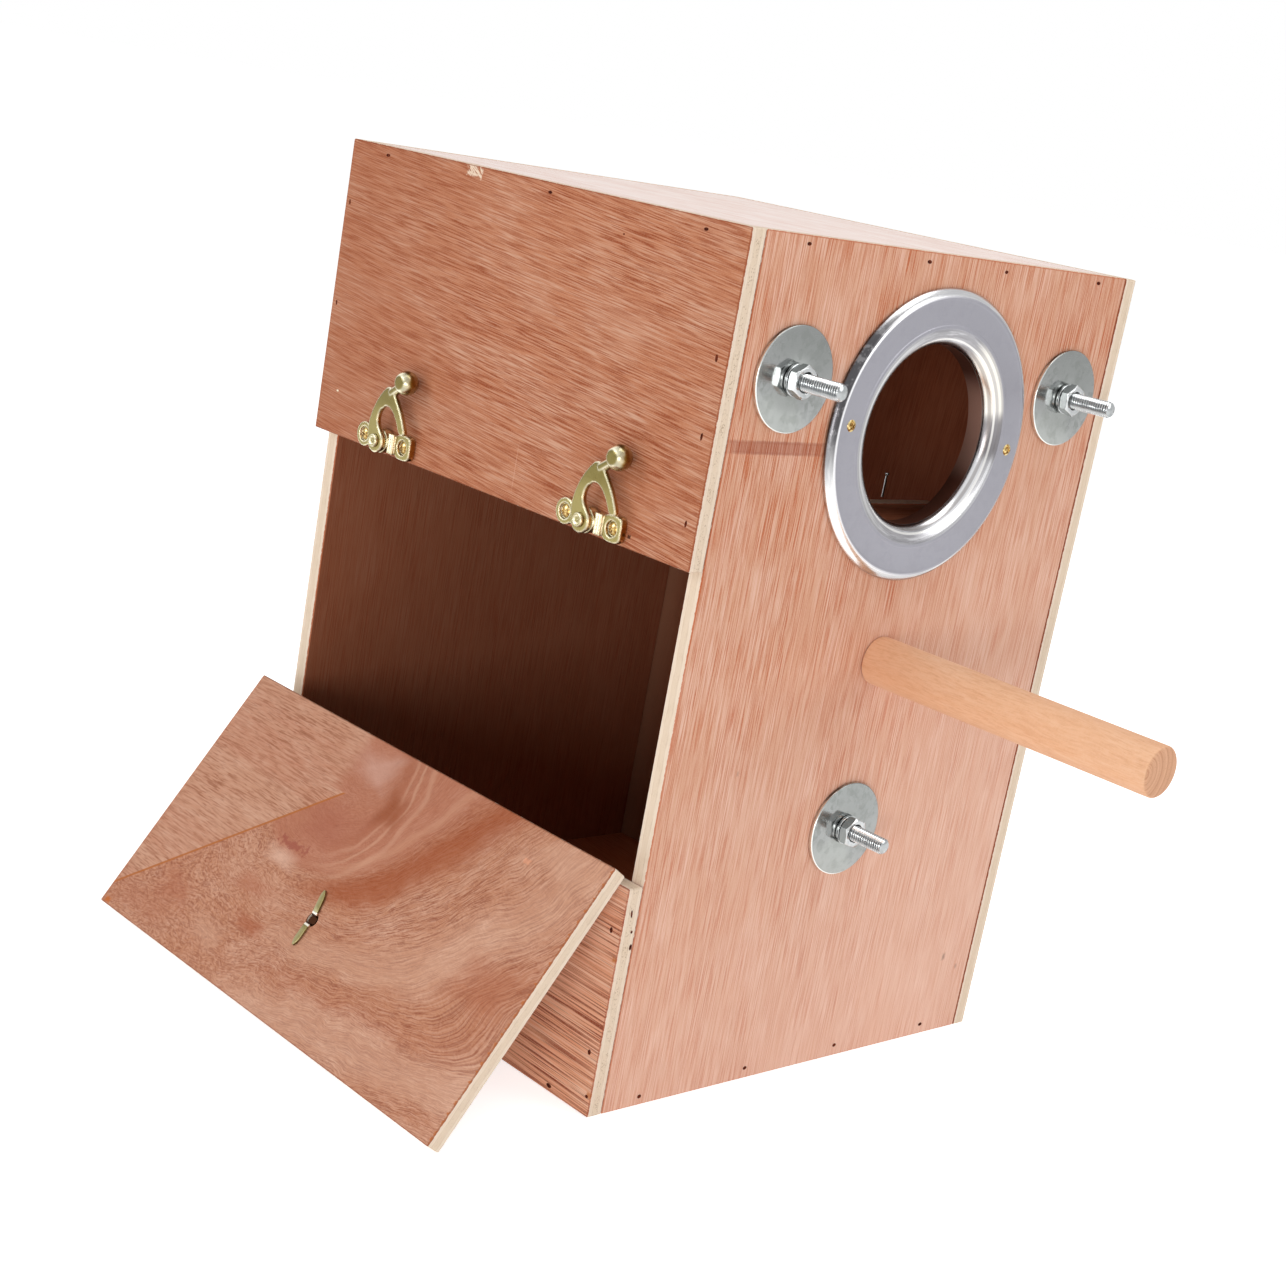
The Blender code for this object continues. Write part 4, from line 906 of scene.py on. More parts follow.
def lathe(profile, sides, reach=None):
    """Carries a closed outline of (radius, height) points round Z. `reach` may change a
    point's place: it gets the radius, height and angle, and gives radius and height."""
    rows = []
    for point in profile:
        row = []
        for angle in (2 * math.pi * i / sides for i in range(sides)):
            radius, z = reach(*point, angle) if reach else point
            row.append(polar(radius, angle, z))
        rows.append(row)
    return skin(rows)


def turned(profile, edge, sides, arc=3):
    return lathe(soften(profile, edge, arc), sides)


def mesh_of(shape):
    mesh = bpy.data.meshes.new("scrap")
    shape.to_mesh(mesh)
    shape.free()
    return mesh


def joined(shape, *others):
    for other in others:
        shape.from_mesh(mesh_of(other))
    return shape


def baked(item):
    """An object's mesh with its modifiers applied. The object itself goes."""
    graph = bpy.context.evaluated_depsgraph_get()
    mesh = bpy.data.meshes.new_from_object(item.evaluated_get(graph))
    bpy.data.objects.remove(item)
    return mesh


def piece(name, shape, material, own, body, nodes, sharp=35):
    """Finishes a bmesh as one plain object in its place, riding on a body."""
    bmesh.ops.remove_doubles(shape, verts=shape.verts, dist=0.001 * MM)
    bmesh.ops.dissolve_degenerate(shape, edges=shape.edges, dist=0.0005 * MM)
    bmesh.ops.recalc_face_normals(shape, faces=shape.faces)
    local = shape.verts.layers.float_vector.new("own")
    for vert in shape.verts:
        vert[local] = vert.co
    shape.transform(own)
    mesh = mesh_of(shape)
    mesh.name = name
    settle(name, mesh, material, body, nodes, sharp)


def settle(name, mesh, material, body, nodes=(), sharp=35):
    mesh.shade_smooth()
    mesh.set_sharp_from_angle(angle=math.radians(sharp))
    mesh.materials.clear()
    mesh.materials.append(material)
    item = add(name, mesh)
    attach(item, body)
    for node in nodes:
        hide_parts(node)


# %% Entry ring and perch
def make_ring():
    arc = [(38.4 - 7.0 * math.sin(turn), 3.3 - 5.0 * (1 - math.cos(turn)))
           for turn in (math.pi / 2 * i / 12 for i in range(13))]
    profile = [(32.2, -7.6), (32.2, -1.4), (33.6, 0.25), (50.9, 0.25), (51.0, 1.1),
               (50.5, 1.9), (49.6, 2.7), (48.6, 3.15), (47.7, 3.3), (47.2, 3.2), (38.9, 3.2),
               (38.6, 3.3), *arc, (31.4, -7.6)]
    own = Matrix.Translation((0, -0.105, 0.2385)) @ FRONT
    piece("pressed_entry_ring", turned(profile, 0.25, 128, 2), steel, own,
          "box", ["entry_ring"], 50)


perch_own = Matrix.Translation((0, -0.105, middle_of("perch_dowel").z)) @ FRONT


def perch_wood():
    """Straight-grained pale hardwood: fine lines along it, flecks, and rings on its end."""
    material, coordinates = new_material("perch wood")
    place = own_place(material)
    x, y, z = place.split()
    bowed = y + ((place * (1, 1, 0.35)).noise(55.0) - 0.5) * (7 * MM)
    grain = veneered(join(z, x * 0.6, bowed), 2.2, Base=(230, 180, 142), Streak=(222, 166, 124),
                     Pale=(240, 202, 172), Pore=(200, 138, 98), Band_Width=5 * MM, Banding=0.5,
                     Wander=0.6, Line_Length=7 * MM, Line_Pitch=0.8 * MM, Lines=0.25, Cloud=0.35)
    around = calc("LENGTH", join(x + 9 * MM, y))
    ring = join(around * 8.0).noise(120.0, 3.0).ease(0.4, 0.65)
    end = mix(ring, (218, 168, 134), (198, 142, 106))
    end = mix(place.cells(1700.0).ease(0.12, 0.3, 0.45, 0.0), end, (160, 104, 74))
    on_end = turned_to(coordinates["Normal"], perch_own, "VECTOR").split()[2].ease(0.5, 0.9)
    show(material, Base_Color=mix(on_end, grain, end), Roughness=0.6, Specular_IOR_Level=0.3,
         Normal=bump(grain["Height"], 0.3, 0.08 * MM))
    return material


def make_perch():
    low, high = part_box("perch_dowel")
    wide = (high.x - low.x) / 2 / MM
    dowel = ((0, 0.3), (wide, 0.3), (wide, 119.3), (wide - 0.75, 120), (0, 120))
    piece("turned_perch", turned(dowel, 0.5, 64), perch_wood(), perch_own, "box",
          ["perch_dowel"], 50)
    head = ((0, -6.7), (4.0, -6.7), (4.0, -7.3), (3.0, -8.7), (0, -9.3))
    shank = ((0, 23.3), (1.85, 19.6), (1.85, -6.7), (0, -6.7))
    piece("perch_fixing_screw", joined(turned(head, 0.3, 32), lathe(shank, 20)), bright_zinc,
          perch_own, "box", ["perch_screw"], 50)


make_ring()
make_perch()
print("entry ring and perch turned")

# %% [markdown]
# A thread is a rule, so Geometry Nodes make the bolts. A flat grid is rolled into a cylinder,
# and each point's radius follows how far it has climbed along the pitch since its last turn.
# The first and last rows close to a point, so that the rod has ends. The same signals as for
# shaders build the tree, with its sizes as named inputs.

# %% A shorthand for Geometry Nodes
class Recipe:
    """A Geometry Nodes tree whose sizes are named inputs."""

    def __init__(self, name, **sizes):
        self.tree = bpy.data.node_groups.new(name, "GeometryNodeTree")
        self.ids = {}
        self.socket("Geometry", "INPUT", "Geometry")
        for label, value in sizes.items():
            made = self.socket(label, "INPUT", "Int" if isinstance(value, int) else "Float")
            made.default_value = value
            self.ids[label] = made.identifier
        self.socket("Geometry", "OUTPUT", "Geometry")
        self.given = inputs_of(self.tree)

    def socket(self, label, side, kind):
        return self.tree.interface.new_socket(label, in_out=side,
                                              socket_type="NodeSocket" + kind)

    def add(self, kind, inputs=(), **values):
        return node(self.tree, "GeometryNode" + kind, inputs, **values)

    def close(self, geometry, material):
        geometry = self.add("RealizeInstances", {0: geometry})
        geometry = self.add("SetMaterial", Geometry=geometry, Material=material)
        feed(self.tree.nodes.new("NodeGroupOutput").inputs[0], geometry)
        return self

    def cook(self, source, **sizes):
        """Runs the recipe on a mesh and gives the result as a plain mesh."""
        item = add("raw", source)
        modifier = item.modifiers.new("recipe", "NODES")
        modifier.node_group = self.tree
        for label, value in sizes.items():
            modifier[self.ids[label]] = value
        return baked(item)


# %% Threaded rod
def thread_recipe(material):
    r = Recipe("threaded rod", Radius=2.95 * MM, Pitch=1.0 * MM, Depth=0.55 * MM,
               Length=27.2 * MM, Chamfer=0.7 * MM, Sides=25, Rows=200)
    g = r.given
    sheet = r.add("MeshGrid", Size_X=1.0, Size_Y=1.0, Vertices_X=g.Sides, Vertices_Y=g.Rows)
    x, y, _ = r.add("InputPosition").split()
    turn = x + 0.5
    height = (y + 0.5) * g.Length
    climb = calc("FRACT", height / g.Pitch - turn)
    crest = calc("DIVIDE", abs(climb * 2.0 - 1.0) - 0.15, 0.7, clamp=True)
    tip = g.Radius - g.Chamfer + (g.Length - height)
    radius = calc("MINIMUM", g.Radius - crest * g.Depth, tip)
    radius = radius * calc("LESS_THAN", abs(y), 0.4999)
    angle = turn * (2 * math.pi)
    rolled = join(radius * calc("COSINE", angle), radius * calc("SINE", angle), height)
    rod = r.add("SetPosition", Geometry=sheet, Position=rolled)
    return r.close(r.add("MergeByDistance", Geometry=rod, Distance=0.002 * MM), material)


# %% [markdown]
# Each mounting set is a bolt whose domed head is inside the box, a wide penny washer, a split
# spring washer and a hexagon nut. A nut's ends are turned off at 30 degrees after its six
# flats are cut, which leaves curved lines on the flats, so the nut is a lathe shape whose
# radius follows the hexagon.

# %% Mounting sets
def box_outline(left, right, low, high):
    return (left, low), (right, low), (right, high), (left, high)


def split_washer(inner, outer, low, high, slit):
    """A ring with a slanting slit and eased edges."""
    section = soften(box_outline(inner, outer, low, high), 0.2, 2)
    middle, steps = (low + high) / 2, 72
    rows = []
    for i in range(steps + 1):
        start = slit / 2 / outer + (2 * math.pi - slit / outer) * i / steps
        rows.append([polar(r, start + (z - middle) * 0.45 / outer, z) for r, z in section])
    return skin(rows, closed=False)


def hex_nut(flats, bore, low, high):
    """A nut with 30 degree chamfers and a thread relief at each end of its bore."""
    outer = flats / 2
    crown, slope, lead = outer * 0.95, math.tan(math.radians(30)), 0.35

    def hexagon(radius, height, angle):
        if radius < outer:
            return radius, height
        edge = outer / math.cos(angle % (math.pi / 3) - math.pi / 6)
        return edge, height + math.copysign((edge - crown) * slope, (low + high) / 2 - height)

    end = ((bore, lead), (bore + lead, 0), (crown, 0), (outer, 0))
    profile = [(r, low + z) for r, z in end] + [(r, high - z) for r, z in reversed(end)]
    return lathe(profile, 72, hexagon)


def make_mounting_sets():
    rod = thread_recipe(bright_zinc)
    head = ((0, -6.7), (6.6, -6.7), (6.6, -7.4), (5.6, -9.0), (3.4, -9.9), (0, -10.0))
    for number, reach in ((1, 22.3), (2, 22.3), (3, 20.5)):
        middle = middle_of(f"mounting_bolt_{number}")
        own = Matrix.Translation((middle.x, -0.105, middle.z)) @ FRONT
        spun = own @ Matrix.Rotation(math.radians(24 + 5 * number), 4, "Z")
        bolt = bmesh.new()
        bolt.from_mesh(rod.cook(bpy.data.meshes.new("start"), Length=(reach + 6.7) * MM,
                                Rows=200))
        bmesh.ops.translate(bolt, vec=(0, 0, -6.7 * MM), verts=bolt.verts)
        joined(bolt, turned(head, 0.4, 40))
        washer = turned(box_outline(3.25, 17.5, 0.2, 1.6), 0.3, 96)
        spring = split_washer(3.25, 5.4, 1.8, 3.0, 0.8)
        nut = hex_nut(10.0, 3.25, 3.2, 6.8)
        for name, shape, material, place, body, replaced, sharp in (
            ("threaded_bolt", bolt, bright_zinc, spun, "box", "mounting_bolt", 50),
            ("wide_washer", washer, zinc, own, f"clamp_{number}", "penny_washer", 35),
            ("split_washer", spring, bright_zinc, spun, f"clamp_{number}", "spring_washer", 35),
            ("hex_nut", nut, bright_nut, spun, f"nut_{number}", "mounting_nut", 25),
        ):
            piece(f"{name}_{number}", shape, material, place, body,
                  [f"{replaced}_{number}"], sharp)


make_mounting_sets()
print("mounting sets made")

# %% [markdown]
# The latches are cast and tumbled, which leaves every edge and every meeting of two forms
# soft. The forms are put together roughly from slabs, drums and a ball, turned into one skin
# by a voxel remesh, and smoothed a little, much as a cast is made from a built-up pattern.
# The seats of the screws are pressed in last, by lowering the points over them.

# %% Helpers for cast pieces
def curve_through(points, steps):
    """A closed Catmull-Rom curve."""
    curve = []
    count = len(points)
    for i in range(count):
        p0, p1, p2, p3 = (Vector(points[(i + k - 1) % count]) for k in range(4))
        for step in range(steps):
            t = step / steps
            bend = (p1 * 2) + (p2 - p0) * t + (p0 * 2 - p1 * 5 + p2 * 4 - p3) * t * t
            curve.append((bend + (p1 * 3 - p0 - p2 * 3 + p3) * t * t * t) / 2)
    return curve


def slab(outline, low, high, edge=0.3):
    """A flat outline given a thickness, with its upper rim eased."""
    shape = bmesh.new()
    bottom, top = ([shape.verts.new((x * MM, y * MM, z * MM)) for x, y in outline]
                   for z in (low, high))
    shape.faces.new(bottom[::-1])
    lid = shape.faces.new(top)
    for i in range(len(outline)):
        shape.faces.new((bottom[i - 1], bottom[i], top[i], top[i - 1]))
    if edge:
        bmesh.ops.bevel(shape, geom=list(lid.edges), offset=edge * MM, segments=3,
                        profile=0.5, affect="EDGES")
    return shape


def disc(x, y, radius, *slab_sizes):
    turns = (2 * math.pi * i / 40 for i in range(40))
    outline = [(x + radius * math.cos(turn), y + radius * math.sin(turn)) for turn in turns]
    return slab(outline, *slab_sizes)


def cast(shapes, voxel, passes, swell=0.12):
    """One soft skin round several shapes, as a bmesh. Smoothing shrinks it a little, and
    `swell` makes up for that."""
    for shape in shapes:
        bmesh.ops.recalc_face_normals(shape, faces=shape.faces)
    item = add("raw cast", mesh_of(joined(bmesh.new(), *shapes)))
    cover = item.modifiers.new("skin", "REMESH")
    cover.mode = "VOXEL"
    cover.voxel_size = voxel * MM
    even = item.modifiers.new("even", "SMOOTH")
    even.factor = 0.5
    even.iterations = passes
    result = bmesh.new()
    result.from_mesh(baked(item))
    result.normal_update()
    for vert in result.verts:
        vert.co += vert.normal * swell * MM
    return result


EARS = ((-12.0, 0.0), (12.0, 0.0))


def ear_plate(radius):
    """A bar with a round ear at each end, as two of the shapes of a cast."""
    return [slab(box_outline(-12, 12, -3.3, 3.3), 0.2, 2.6, 0.35)] + [
        disc(x, y, radius, 0.2, 2.6, 0.5) for x, y in EARS]


def press_seats(shape, radius=2.75, floor=1.7):
    """Lowers the points over the ears' middles to the floor of the screws' seats."""
    for x, y in EARS:
        for vert in shape.verts:
            away = math.hypot(vert.co.x - x * MM, vert.co.y - y * MM)
            if away < radius * MM and vert.co.z > floor * MM:
                vert.co.z = floor * MM
    return shape


# %% Swing latches
ARM = (
    (-0.205, 0.010), (-0.238, 0.214), (-0.189, 0.466), (-0.078, 0.709), (0.068, 0.903),
    (0.185, 0.995), (0.300, 0.990), (0.362, 0.900), (0.466, 0.786), (0.612, 0.612),
    (0.718, 0.447), (0.786, 0.306), (0.748, 0.252), (0.652, 0.264), (0.588, 0.382),
    (0.494, 0.508), (0.384, 0.614), (0.250, 0.668), (0.110, 0.640), (0.018, 0.532),
    (-0.014, 0.395), (0.025, 0.275), (0.100, 0.185), (0.200, 0.060), (0.172, -0.117),
    (0.000, -0.209), (-0.155, -0.136),
)
ARM_LENGTH = 20.6
RIVET = ((0, 0.5), (1.3, 0.5), (1.3, 6.8), (2.5, 6.8), (2.5, 7.3), (2.1, 7.95), (1.55, 7.95),
         (1.2, 7.5), (0, 7.4))
POST = ((0, 1.0), (1.5, 1.0), (1.5, 6.4), (1.2, 6.95), (0, 7.1))


def arm_shape():
    centre, root = Vector((13.5, 23.9, 6.1)), Vector((5.2, 18.6, 5.4))
    reach = centre - root
    neck = bmesh.new()
    bmesh.ops.create_cone(neck, segments=24, radius1=1.6 * MM, radius2=1.4 * MM,
                          depth=reach.length * MM, cap_ends=True)
    turn = reach.to_track_quat("Z", "Y").to_matrix().to_4x4()
    neck.transform(Matrix.Translation((root + reach / 2) * MM) @ turn)
    ball = bmesh.new()
    bmesh.ops.create_uvsphere(ball, u_segments=40, v_segments=24, radius=4.15 * MM)
    for vert in ball.verts:
        vert.co.z = min(vert.co.z, 3.45 * MM)
    ball.transform(Matrix.Translation(centre * MM))
    outline = curve_through([(x * ARM_LENGTH, y * ARM_LENGTH) for x, y in ARM], 4)
    return cast([slab(outline, 4.8, 6.5, 0.75), neck, ball], 0.14, 45, 0.26)


def make_latch(side):
    pivot = middle_of(f"latch_rivet_{side}")
    own = Matrix.Translation((-0.1025, pivot.y, pivot.z)) @ DOOR_SIDE
    block = soften(box_outline(7.6, 16.4, -4.4, 4.4), 2.6, 6)
    ribs = [slab(box_outline(left, left + 0.75, -3.6, 3.6), 1.0, 4.0, 0.5)
            for left in (4.5, 5.65, 6.8)]
    plate = cast([*ear_plate(4.4), disc(0, 0, 4.3, 1.0, 4.3, 0.4), *ribs,
                  slab(block, 0.2, 2.9, 0.6)], 0.14, 8)
    for name, shape, body, replaced, sharp in (
        ("cast_latch_plate", press_seats(plate), "box", "latch_plate", 60),
        ("cast_latch_arm", arm_shape(), f"latch_arm_{side}", "latch_arm", 60),
        ("ringed_rivet", turned(RIVET, 0.2, 40), "box", "latch_rivet", 50),
    ):
        piece(f"{name}_{side}", shape, latch_brass, own, body,
              [f"{replaced}_{side}"], sharp)


def make_catch(side):
    middle = door_frame.inverted() @ middle_of(f"catch_plate_{side}")
    own = door_frame @ Matrix.Translation((middle.x, middle.y, -2.1 * MM))
    plate = press_seats(cast([*ear_plate(4.0), turned(POST, 0.3, 32)], 0.16, 2))
    piece(f"cast_catch_{side}", plate, door_brass, own, "door",
          [f"catch_plate_{side}"], 60)


for side in ("rear", "front"):
    make_latch(side)
    make_catch(side)
print("latches and catches cast")

# %% [markdown]
# The butt hinges are cut from sheet, with their tongues rolled round a pin. Each leaf is a
# slab with rounded corners and a knuckle round the axis at each of its tongues.

# %% Hinges
DOOR_FACE = -2.1
PIN = ((0, -13.6), (1.1, -13.4), (1.5, -12.8), (0.9, -12.8), (0.9, 12.8), (1.5, 12.8),
       (1.1, 13.4), (0, 13.6))


def lying(profile, sides):
    """A turned shape whose axis is local X."""
    shape = turned(profile, 0.15, sides, 2)
    shape.transform(Matrix.Rotation(math.pi / 2, 4, "Y"))
    return shape


def make_leaf(name, own, up, knuckles, body, replaced):
    low, high = DOOR_FACE + 0.2, DOOR_FACE + 1.2
    leaf = slab(soften(box_outline(-12.5, 12.5, *sorted((up * 2.1, up * 14.0))), 1.2, 5), low,
                high, 0.2)
    for start, stop in knuckles:
        tongue = box_outline(start, stop, *sorted((0, up * 2.6)))
        joined(leaf, slab(tongue, low, high, 0), lying(box_outline(1.15, 1.8, start, stop), 32))
    piece(name, leaf, brass, own, body, [replaced])


for side in ("rear", "front"):
    middle = middle_of(f"hinge_pin_{side}")
    fixed = Matrix.Translation((-0.1046, middle.y, 0.0858)) @ DOOR_SIDE
    swung = door_frame @ Matrix.Translation((-middle.y, 0, 0))
    make_leaf(f"sheet_leaf_lower_{side}", fixed, -1, ((-12.5, -4.32), (4.32, 12.5)), "box",
              f"hinge_fixed_leaf_{side}")
    make_leaf(f"sheet_leaf_door_{side}", swung, 1, ((-4.02, 4.02),), "door",
              f"hinge_door_leaf_{side}")
    piece(f"riveted_pin_{side}", lying(PIN, 28), brass, fixed, "box",
          [f"hinge_pin_{side}"])
print("hinges made")

# %% [markdown]
# The pull hangs from the split pin's eye, and its joint gives the place on its wire. The pin
# is one strip of brass: up one leg, through the door, round the eye and back. A rectangle with
# eased corners is carried along that route, and its width tapers at the legs' ends.

# %% Ring pull and its split pin
ROSE = ((2.8, -1.9), (6.5, -1.9), (6.5, -1.5), (5.4, -0.8), (4.4, -0.75), (4.1, -0.95),
        (3.5, -0.7), (2.8, -0.7))
EYE_RADIUS, EYE_NECK, LEG_GAP = 3.4, -0.4, 1.65
LEG_TAPER = [0.5, 1.5, 2.2, 2.6]
STRIP_HALF = 0.45


def pin_route():
    gap = math.asin(LEG_GAP / EYE_RADIUS)
    eye = EYE_NECK + EYE_RADIUS * math.cos(gap)
    inside = DOOR_FACE - 6.5 - 0.2 - STRIP_HALF
    leg = [(x, inside) for x in (11.0, 10.2, 9.2, 8.0, 5.0, 3.2)]
    leg += [(2.3, inside + 0.12), (1.85, inside + 0.5), (LEG_GAP, inside + 1.2),
            (LEG_GAP, -4.0), (LEG_GAP, EYE_NECK)]
    turns = (gap + (2 * math.pi - 2 * gap) * i / 48 for i in range(1, 48))
    loop = [(-EYE_RADIUS * math.sin(turn), eye - EYE_RADIUS * math.cos(turn)) for turn in turns]
    return [(-up, out) for up, out in leg] + loop + leg[::-1]


def split_pin():
    route = [Vector(point) for point in pin_route()]
    last = len(route) - 1
    widths = LEG_TAPER + [2.6] * (len(route) - 8) + LEG_TAPER[::-1]
    section = soften(((-1, -1), (1, -1), (1, 1), (-1, 1)), 0.25, 3)
    rows = []
    for i, (up, out) in enumerate(route):
        along = (route[min(i + 1, last)] - route[max(i - 1, 0)]).normalized() * STRIP_HALF
        lean = max(-up - 2.9, 0.0) * -0.27
        rows.append([(lean + a * widths[i] / 2, up - b * along.y, out + b * along.x)
                     for a, b in section])
    # The core is a plug between the legs, painted dark as the shade of the gap in the hole.
    core = lathe(((0, -8.2), (1.9, -8.2), (1.9, -0.5), (0, -0.5)), 24)
    return joined(skin(rows, closed=False), core)


def make_ring_pull():
    joint = next(j for j in frame["joints"] if j["name"] == "pull_ring_swing")
    middle = middle_of("pull_ring")
    away = middle - Vector(joint["pos_m"])
    wire = [(10.5 + 1.2 * math.cos(bend), 1.2 * math.sin(bend))
            for bend in (2 * math.pi * k / 20 for k in range(20))]
    own = Matrix.Translation(middle) @ Matrix.Rotation(-math.atan2(away.z, away.x), 4, "Y")
    own = own @ Matrix.Rotation(math.pi, 4, "X")
    pull = door_frame.inverted() @ middle_of("pull_rosette")
    on_door = door_frame @ Matrix.Translation((0, pull.y, 0))
    for name, shape, material, place, body, replaced, sharp in (
        ("drawn_ring", lathe(wire, 96), door_brass, own, "pull_ring", "pull_ring", 60),
        ("turned_rosette", turned(ROSE, 0.2, 64), door_brass, on_door, "door", "pull_rosette",
         50),
        ("bent_split_pin", split_pin(), dull_brass, on_door, "door", "pull_split_pin", 60),
    ):
        piece(name, shape, material, place, body, [replaced], sharp)


make_ring_pull()
print("ring pull made")

# %% [markdown]
# Screws and nails repeat, so Geometry Nodes place them: a mesh of bare points says where, an
# attribute on each point says which way it faces, and a seeded random turn sets each cross
# differently, as a person with a screwdriver would leave them.

# %% Screws
def points_mesh(places):
    """A mesh of points, each with the direction that it faces and its size."""
    mesh = bpy.data.meshes.new("places")
    mesh.from_pydata([place for place, _, _ in places], [], [])
    for column, name in ((1, "facing"), (2, "size")):
        layer = mesh.attributes.new(name, "FLOAT_VECTOR", "POINT")
        for i, row in enumerate(places):
            layer.data[i].vector = row[column]
    return mesh


def placed(r, shape, turn):
    """Instances of a shape on the input's points, each facing its own way."""
    facing, size = (r.add("InputNamedAttribute", Name=name, data_type="FLOAT_VECTOR")
                    for name in ("facing", "size"))
    aim = node(r.tree, "FunctionNodeAlignRotationToVector", Vector=facing, axis="Z")
    spin = node(r.tree, "FunctionNodeRandomValue", {2: -turn, 3: turn}, 1, data_type="FLOAT",
                Seed=r.given.Seed)
    spin = node(r.tree, "FunctionNodeAxisAngleToRotation", Axis=(0, 0, 1), Angle=spin)
    both = node(r.tree, "FunctionNodeRotateRotation", Rotation=aim, Rotate_By=spin,
                rotation_space="LOCAL")
    return r.add("InstanceOnPoints", Points=r.given.Geometry, Instance=shape, Rotation=both,
                 Scale=size)


def screw_recipe(material):
    r = Recipe("cross-head screws", Head=2.3 * MM, Rise=1.1 * MM, Shank=1.1 * MM,
               Bite=4.4 * MM, Seed=5)
    g = r.given

    def lifted(shape, height):
        return r.add("Transform", Geometry=shape, Translation=join(z=height))

    dome = g.Head * 1.28
    ball = lifted(r.add("MeshUVSphere", Segments=32, Rings=20, Radius=dome), g.Rise - dome)
    block = r.add("MeshCylinder", Vertices=40, Radius=g.Head, Depth=g.Rise * 2.0)
    head = r.add("MeshBoolean", [("Mesh 2", ball), ("Mesh 2", lifted(block, g.Rise))],
                 operation="INTERSECT", solver="EXACT")
    for x, y in ((2.5 * MM, 0.62 * MM), (0.62 * MM, 2.5 * MM)):
        arm = lifted(r.add("MeshCube", Size=(x, y, 1.4 * MM)), g.Rise)
        head = r.add("MeshBoolean", {"Mesh 1": head, "Mesh 2": arm}, operation="DIFFERENCE",
                     solver="EXACT")
    shank = r.add("MeshCone", Vertices=16, Radius_Top=g.Shank, Radius_Bottom=0.2 * MM,
                  Depth=g.Bite)
    whole = r.add("JoinGeometry", [(0, head), (0, lifted(shank, g.Bite * -1.0))])
    return r.close(placed(r, whole, 1.5), material)


def screw_seats(names, outward, sink):
    """Where each screw's head rests: its node's top, less its rise and how deep it sits."""
    seats = []
    outward = Vector(outward).normalized()
    for name in names:
        corners = [outward.dot(v.co) for v in frame["nodes"][name].data.vertices]
        middle = middle_of(name)
        top = max(corners) - outward.dot(middle)
        seats.append((middle + outward * (top - 1.1 * MM - sink), outward, (1, 1, 1)))
    return seats


def make_screws():
    recipe = screw_recipe(screw_brass)
    out_door = door_frame.to_3x3() @ Vector((0, 0, 1))
    for body, seed, sets in (
        ("box", 7, ((("ring_screw",), (0, -1, 0), 0.5), (("latch_screw",), (-1, 0, 0), 0.8),
                    (("hinge_screw_front_lower", "hinge_screw_rear_lower"), (-1, 0, 0), 0.25))),
        ("door", 12, ((("catch_screw",), out_door, 0.8),
                      (("hinge_screw_front_door", "hinge_screw_rear_door"), out_door, 0.25))),
    ):
        seats, nodes = [], []
        for starts, outward, sink in sets:
            names = [name for name in sorted(frame["nodes"]) if name.startswith(starts)]
            seats += screw_seats(names, outward, sink * MM)
            nodes += names
        mesh = recipe.cook(points_mesh(seats), Seed=seed)
        settle(f"cross_head_screws_{body}", mesh, screw_brass, body, nodes, 30)
        print(body, "holds", len(nodes), "screws")


make_screws()

# %% Nails
SIDE_NAILS = (
    (82.6, 296.7, 2.3, 1.1), (-9.7, 296.7, 2.0, 1.1), (-85.5, 296.3, 2.0, 1.1),
    (-48.9, 289.0, 0.9, 0.6), (-100.0, 258.9, 1.1, 2.5), (-99.8, 234.1, 1.0, 2.5),
    (-99.9, 206.1, 1.0, 2.3), (102.2, 277.1, 0.9, 2.0), (101.9, 239.7, 0.9, 1.8),
    (-100.2, 67.2, 1.3, 2.1), (-100.5, 22.6, 1.5, 1.9), (-103.0, 7.2, 1.4, 1.2),
    (-84.2, 2.3, 2.6, 1.5),
)
FRONT_NAILS = (
    (-76.2, 297.3, 2.0, 1.2), (-16.8, 296.7, 2.2, 1.3), (25.0, 296.7, 1.8, 1.2),
    (79.5, 297.1, 2.2, 1.3), (-78.9, 3.4, 1.8, 1.5), (-26.3, 4.2, 1.9, 1.4),
    (22.6, 4.4, 1.9, 1.4), (73.8, 4.1, 2.1, 1.4), (-97.0, 62.2, 1.2, 2.2),
    (-97.8, 67.8, 0.9, 1.1), (-99.3, 74.5, 0.8, 2.8),
)
BRAD = ((0, 206.5), (0.5, 206.5), (0.5, 214.6), (0.9, 215.0), (0.9, 215.6), (0, 215.7))


def make_nails():
    material, coordinates = new_material("nail marks")
    soot = coordinates.noise(900.0, 3.0, 0.6)
    show(material, Base_Color=mix(soot.ease(0.35, 0.65), (52, 18, 10), (104, 44, 26)),
         Roughness=0.8, Specular_IOR_Level=0.1, Normal=bump(soot, 0.4, 0.1 * MM))
    spots = [(Vector((-102.5, y, z)) * MM, (-1, 0, 0), (tall, wide, 1.0))
             for y, z, wide, tall in SIDE_NAILS]
    spots += [(Vector((x, -105.0, z)) * MM, (0, -1, 0), (wide, tall, 1.0))
              for x, z, wide, tall in FRONT_NAILS]
    r = Recipe("nail marks", Radius=0.5 * MM, Rise=0.12 * MM, Seed=3)
    mark = r.add("MeshCylinder", Vertices=10, Radius=r.given.Radius, Depth=r.given.Rise)
    mesh = r.close(placed(r, mark, 0.12), material).cook(points_mesh(spots), Seed=3)
    settle("nail_marks", mesh, material, "box")
    piece("standing_brad", turned(BRAD, 0.1, 20, 2), bright_zinc,
          Matrix.Translation((0.0305, -0.067, 0.0015)), "box", [])
    print(len(spots), "nail marks and one brad")


make_nails()

# %% [markdown]
# The studio is a pale floor, soft lamps and a white backdrop. The backdrop is white for the
# camera and for reflections, and dimmer as a light, so that pale wood keeps its tone. The
# floor glows a little, so that it joins the backdrop and still holds the object's shadow.

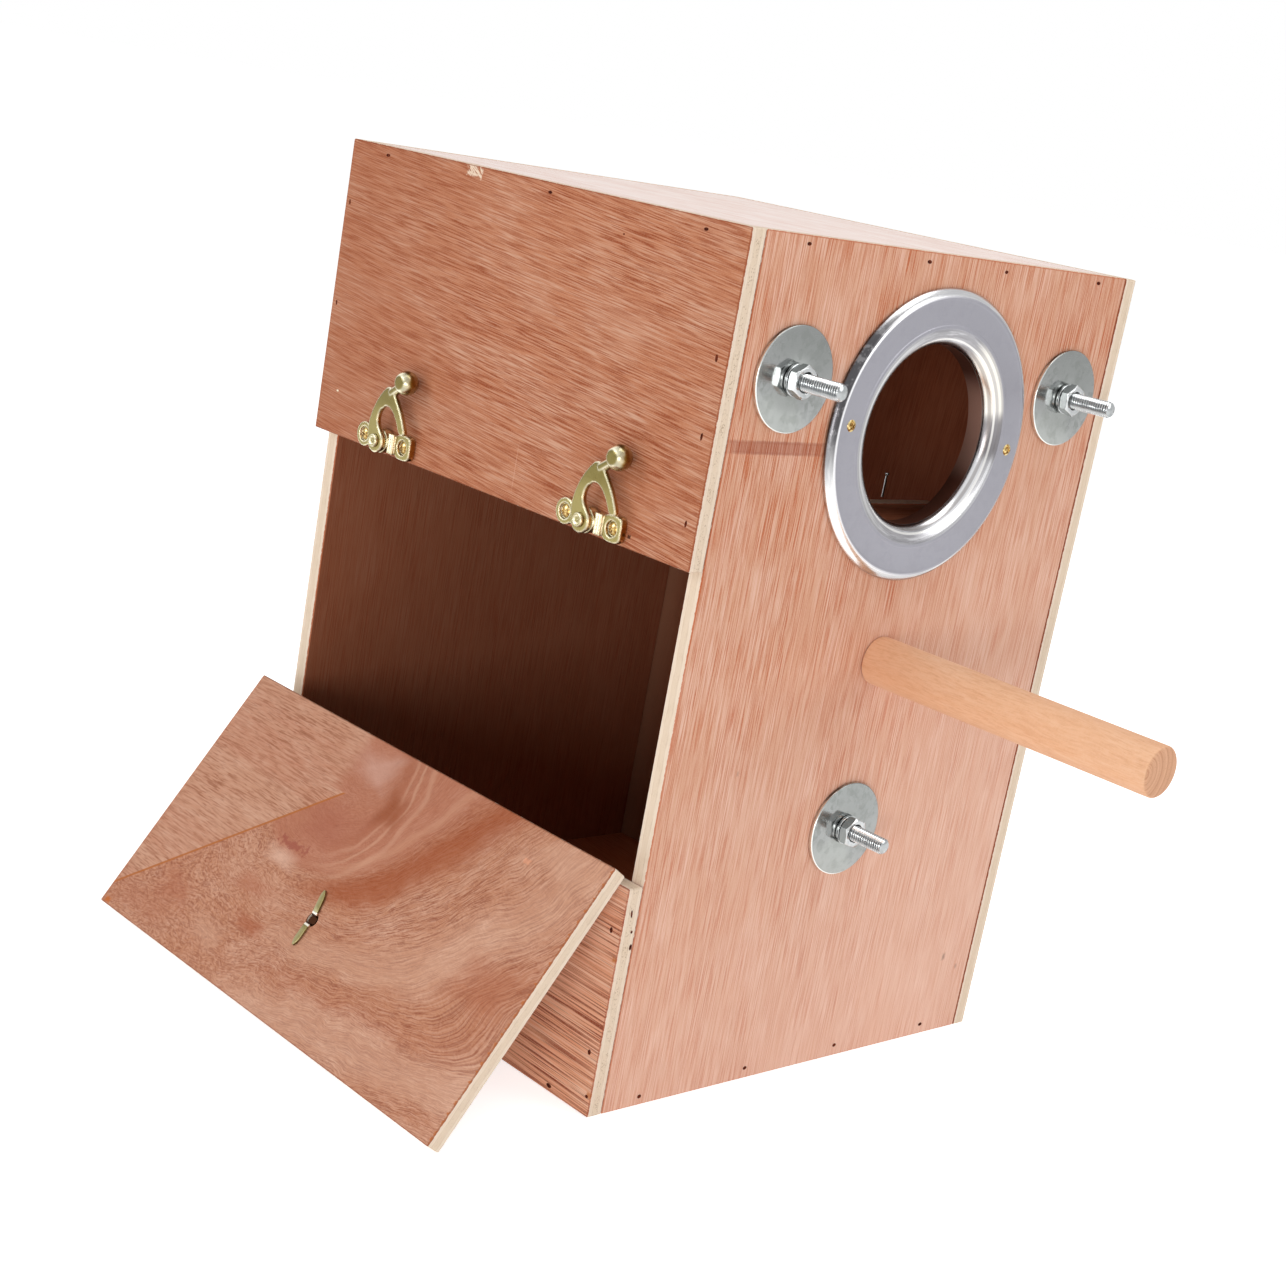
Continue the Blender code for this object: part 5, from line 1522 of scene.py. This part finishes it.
# %% Floor, backdrop and lights
def seen_by_lens(tree):
    """One for what the camera, a reflection or a pane shows, and nothing for plain light."""
    path = node(tree, "ShaderNodeLightPath", out="Is Camera Ray")
    return calc("MAXIMUM", calc("MAXIMUM", path, path["Is Glossy Ray"]),
                path["Is Transmission Ray"])


def glowing(matte, strength):
    glow = node(matte.tree, "ShaderNodeEmission", Color=(255, 255, 255), Strength=strength)
    return node(matte.tree, "ShaderNodeAddShader", {0: matte, 1: glow})


def build_studio():
    plane = bmesh.new()
    bmesh.ops.create_grid(plane, x_segments=1, y_segments=1, size=30)
    floor = add("studio_floor", mesh_of(plane))
    material, _ = new_material("studio floor")
    tree = material.node_tree
    matte = node(tree, "ShaderNodeBsdfDiffuse", Color=(0.85, 0.85, 0.85, 1))
    shaders = {0: seen_by_lens(tree), 1: glowing(matte, 0.2), 2: glowing(matte, 0.72)}
    feed_all(tree.nodes["Material Output"], Surface=node(tree, "ShaderNodeMixShader", shaders))
    floor.data.materials.append(material)
    floor.location.z = cad_box[0][2] - 0.1 * MM

    world = bpy.data.worlds.new("studio")
    bpy.context.scene.world = world
    world.use_nodes = True
    feed_all(world.node_tree.nodes["Background"], Color=(255, 255, 255),
             Strength=between(seen_by_lens(world.node_tree), 0.38, 1.0))


def add_lamp(name, place, aim, size, watts):
    lamp = bpy.data.lights.new(name, "AREA")
    lamp.shape = "DISK"
    lamp.size = size
    lamp.energy = watts
    item = add(name, lamp)
    item.location = place
    item.rotation_euler = (Vector(aim) - Vector(place)).to_track_quat("-Z", "Y").to_euler()


build_studio()
add_lamp("overhead softbox", (0.2, -0.3, 1.6), (0, 0, 0.15), 1.2, 9.5)
add_lamp("front softbox", (0.8, -1.5, 0.85), (0, 0, 0.1), 1.0, 5.2)
add_lamp("side softbox", (-1.5, 0.6, 0.9), (0, 0, 0.15), 1.0, 8)
add_lamp("low fill", (-1.3, -1.0, 0.1), (-0.1, -0.08, 0.05), 0.8, 11)
print("studio lit")

# %% End
print("scene built")
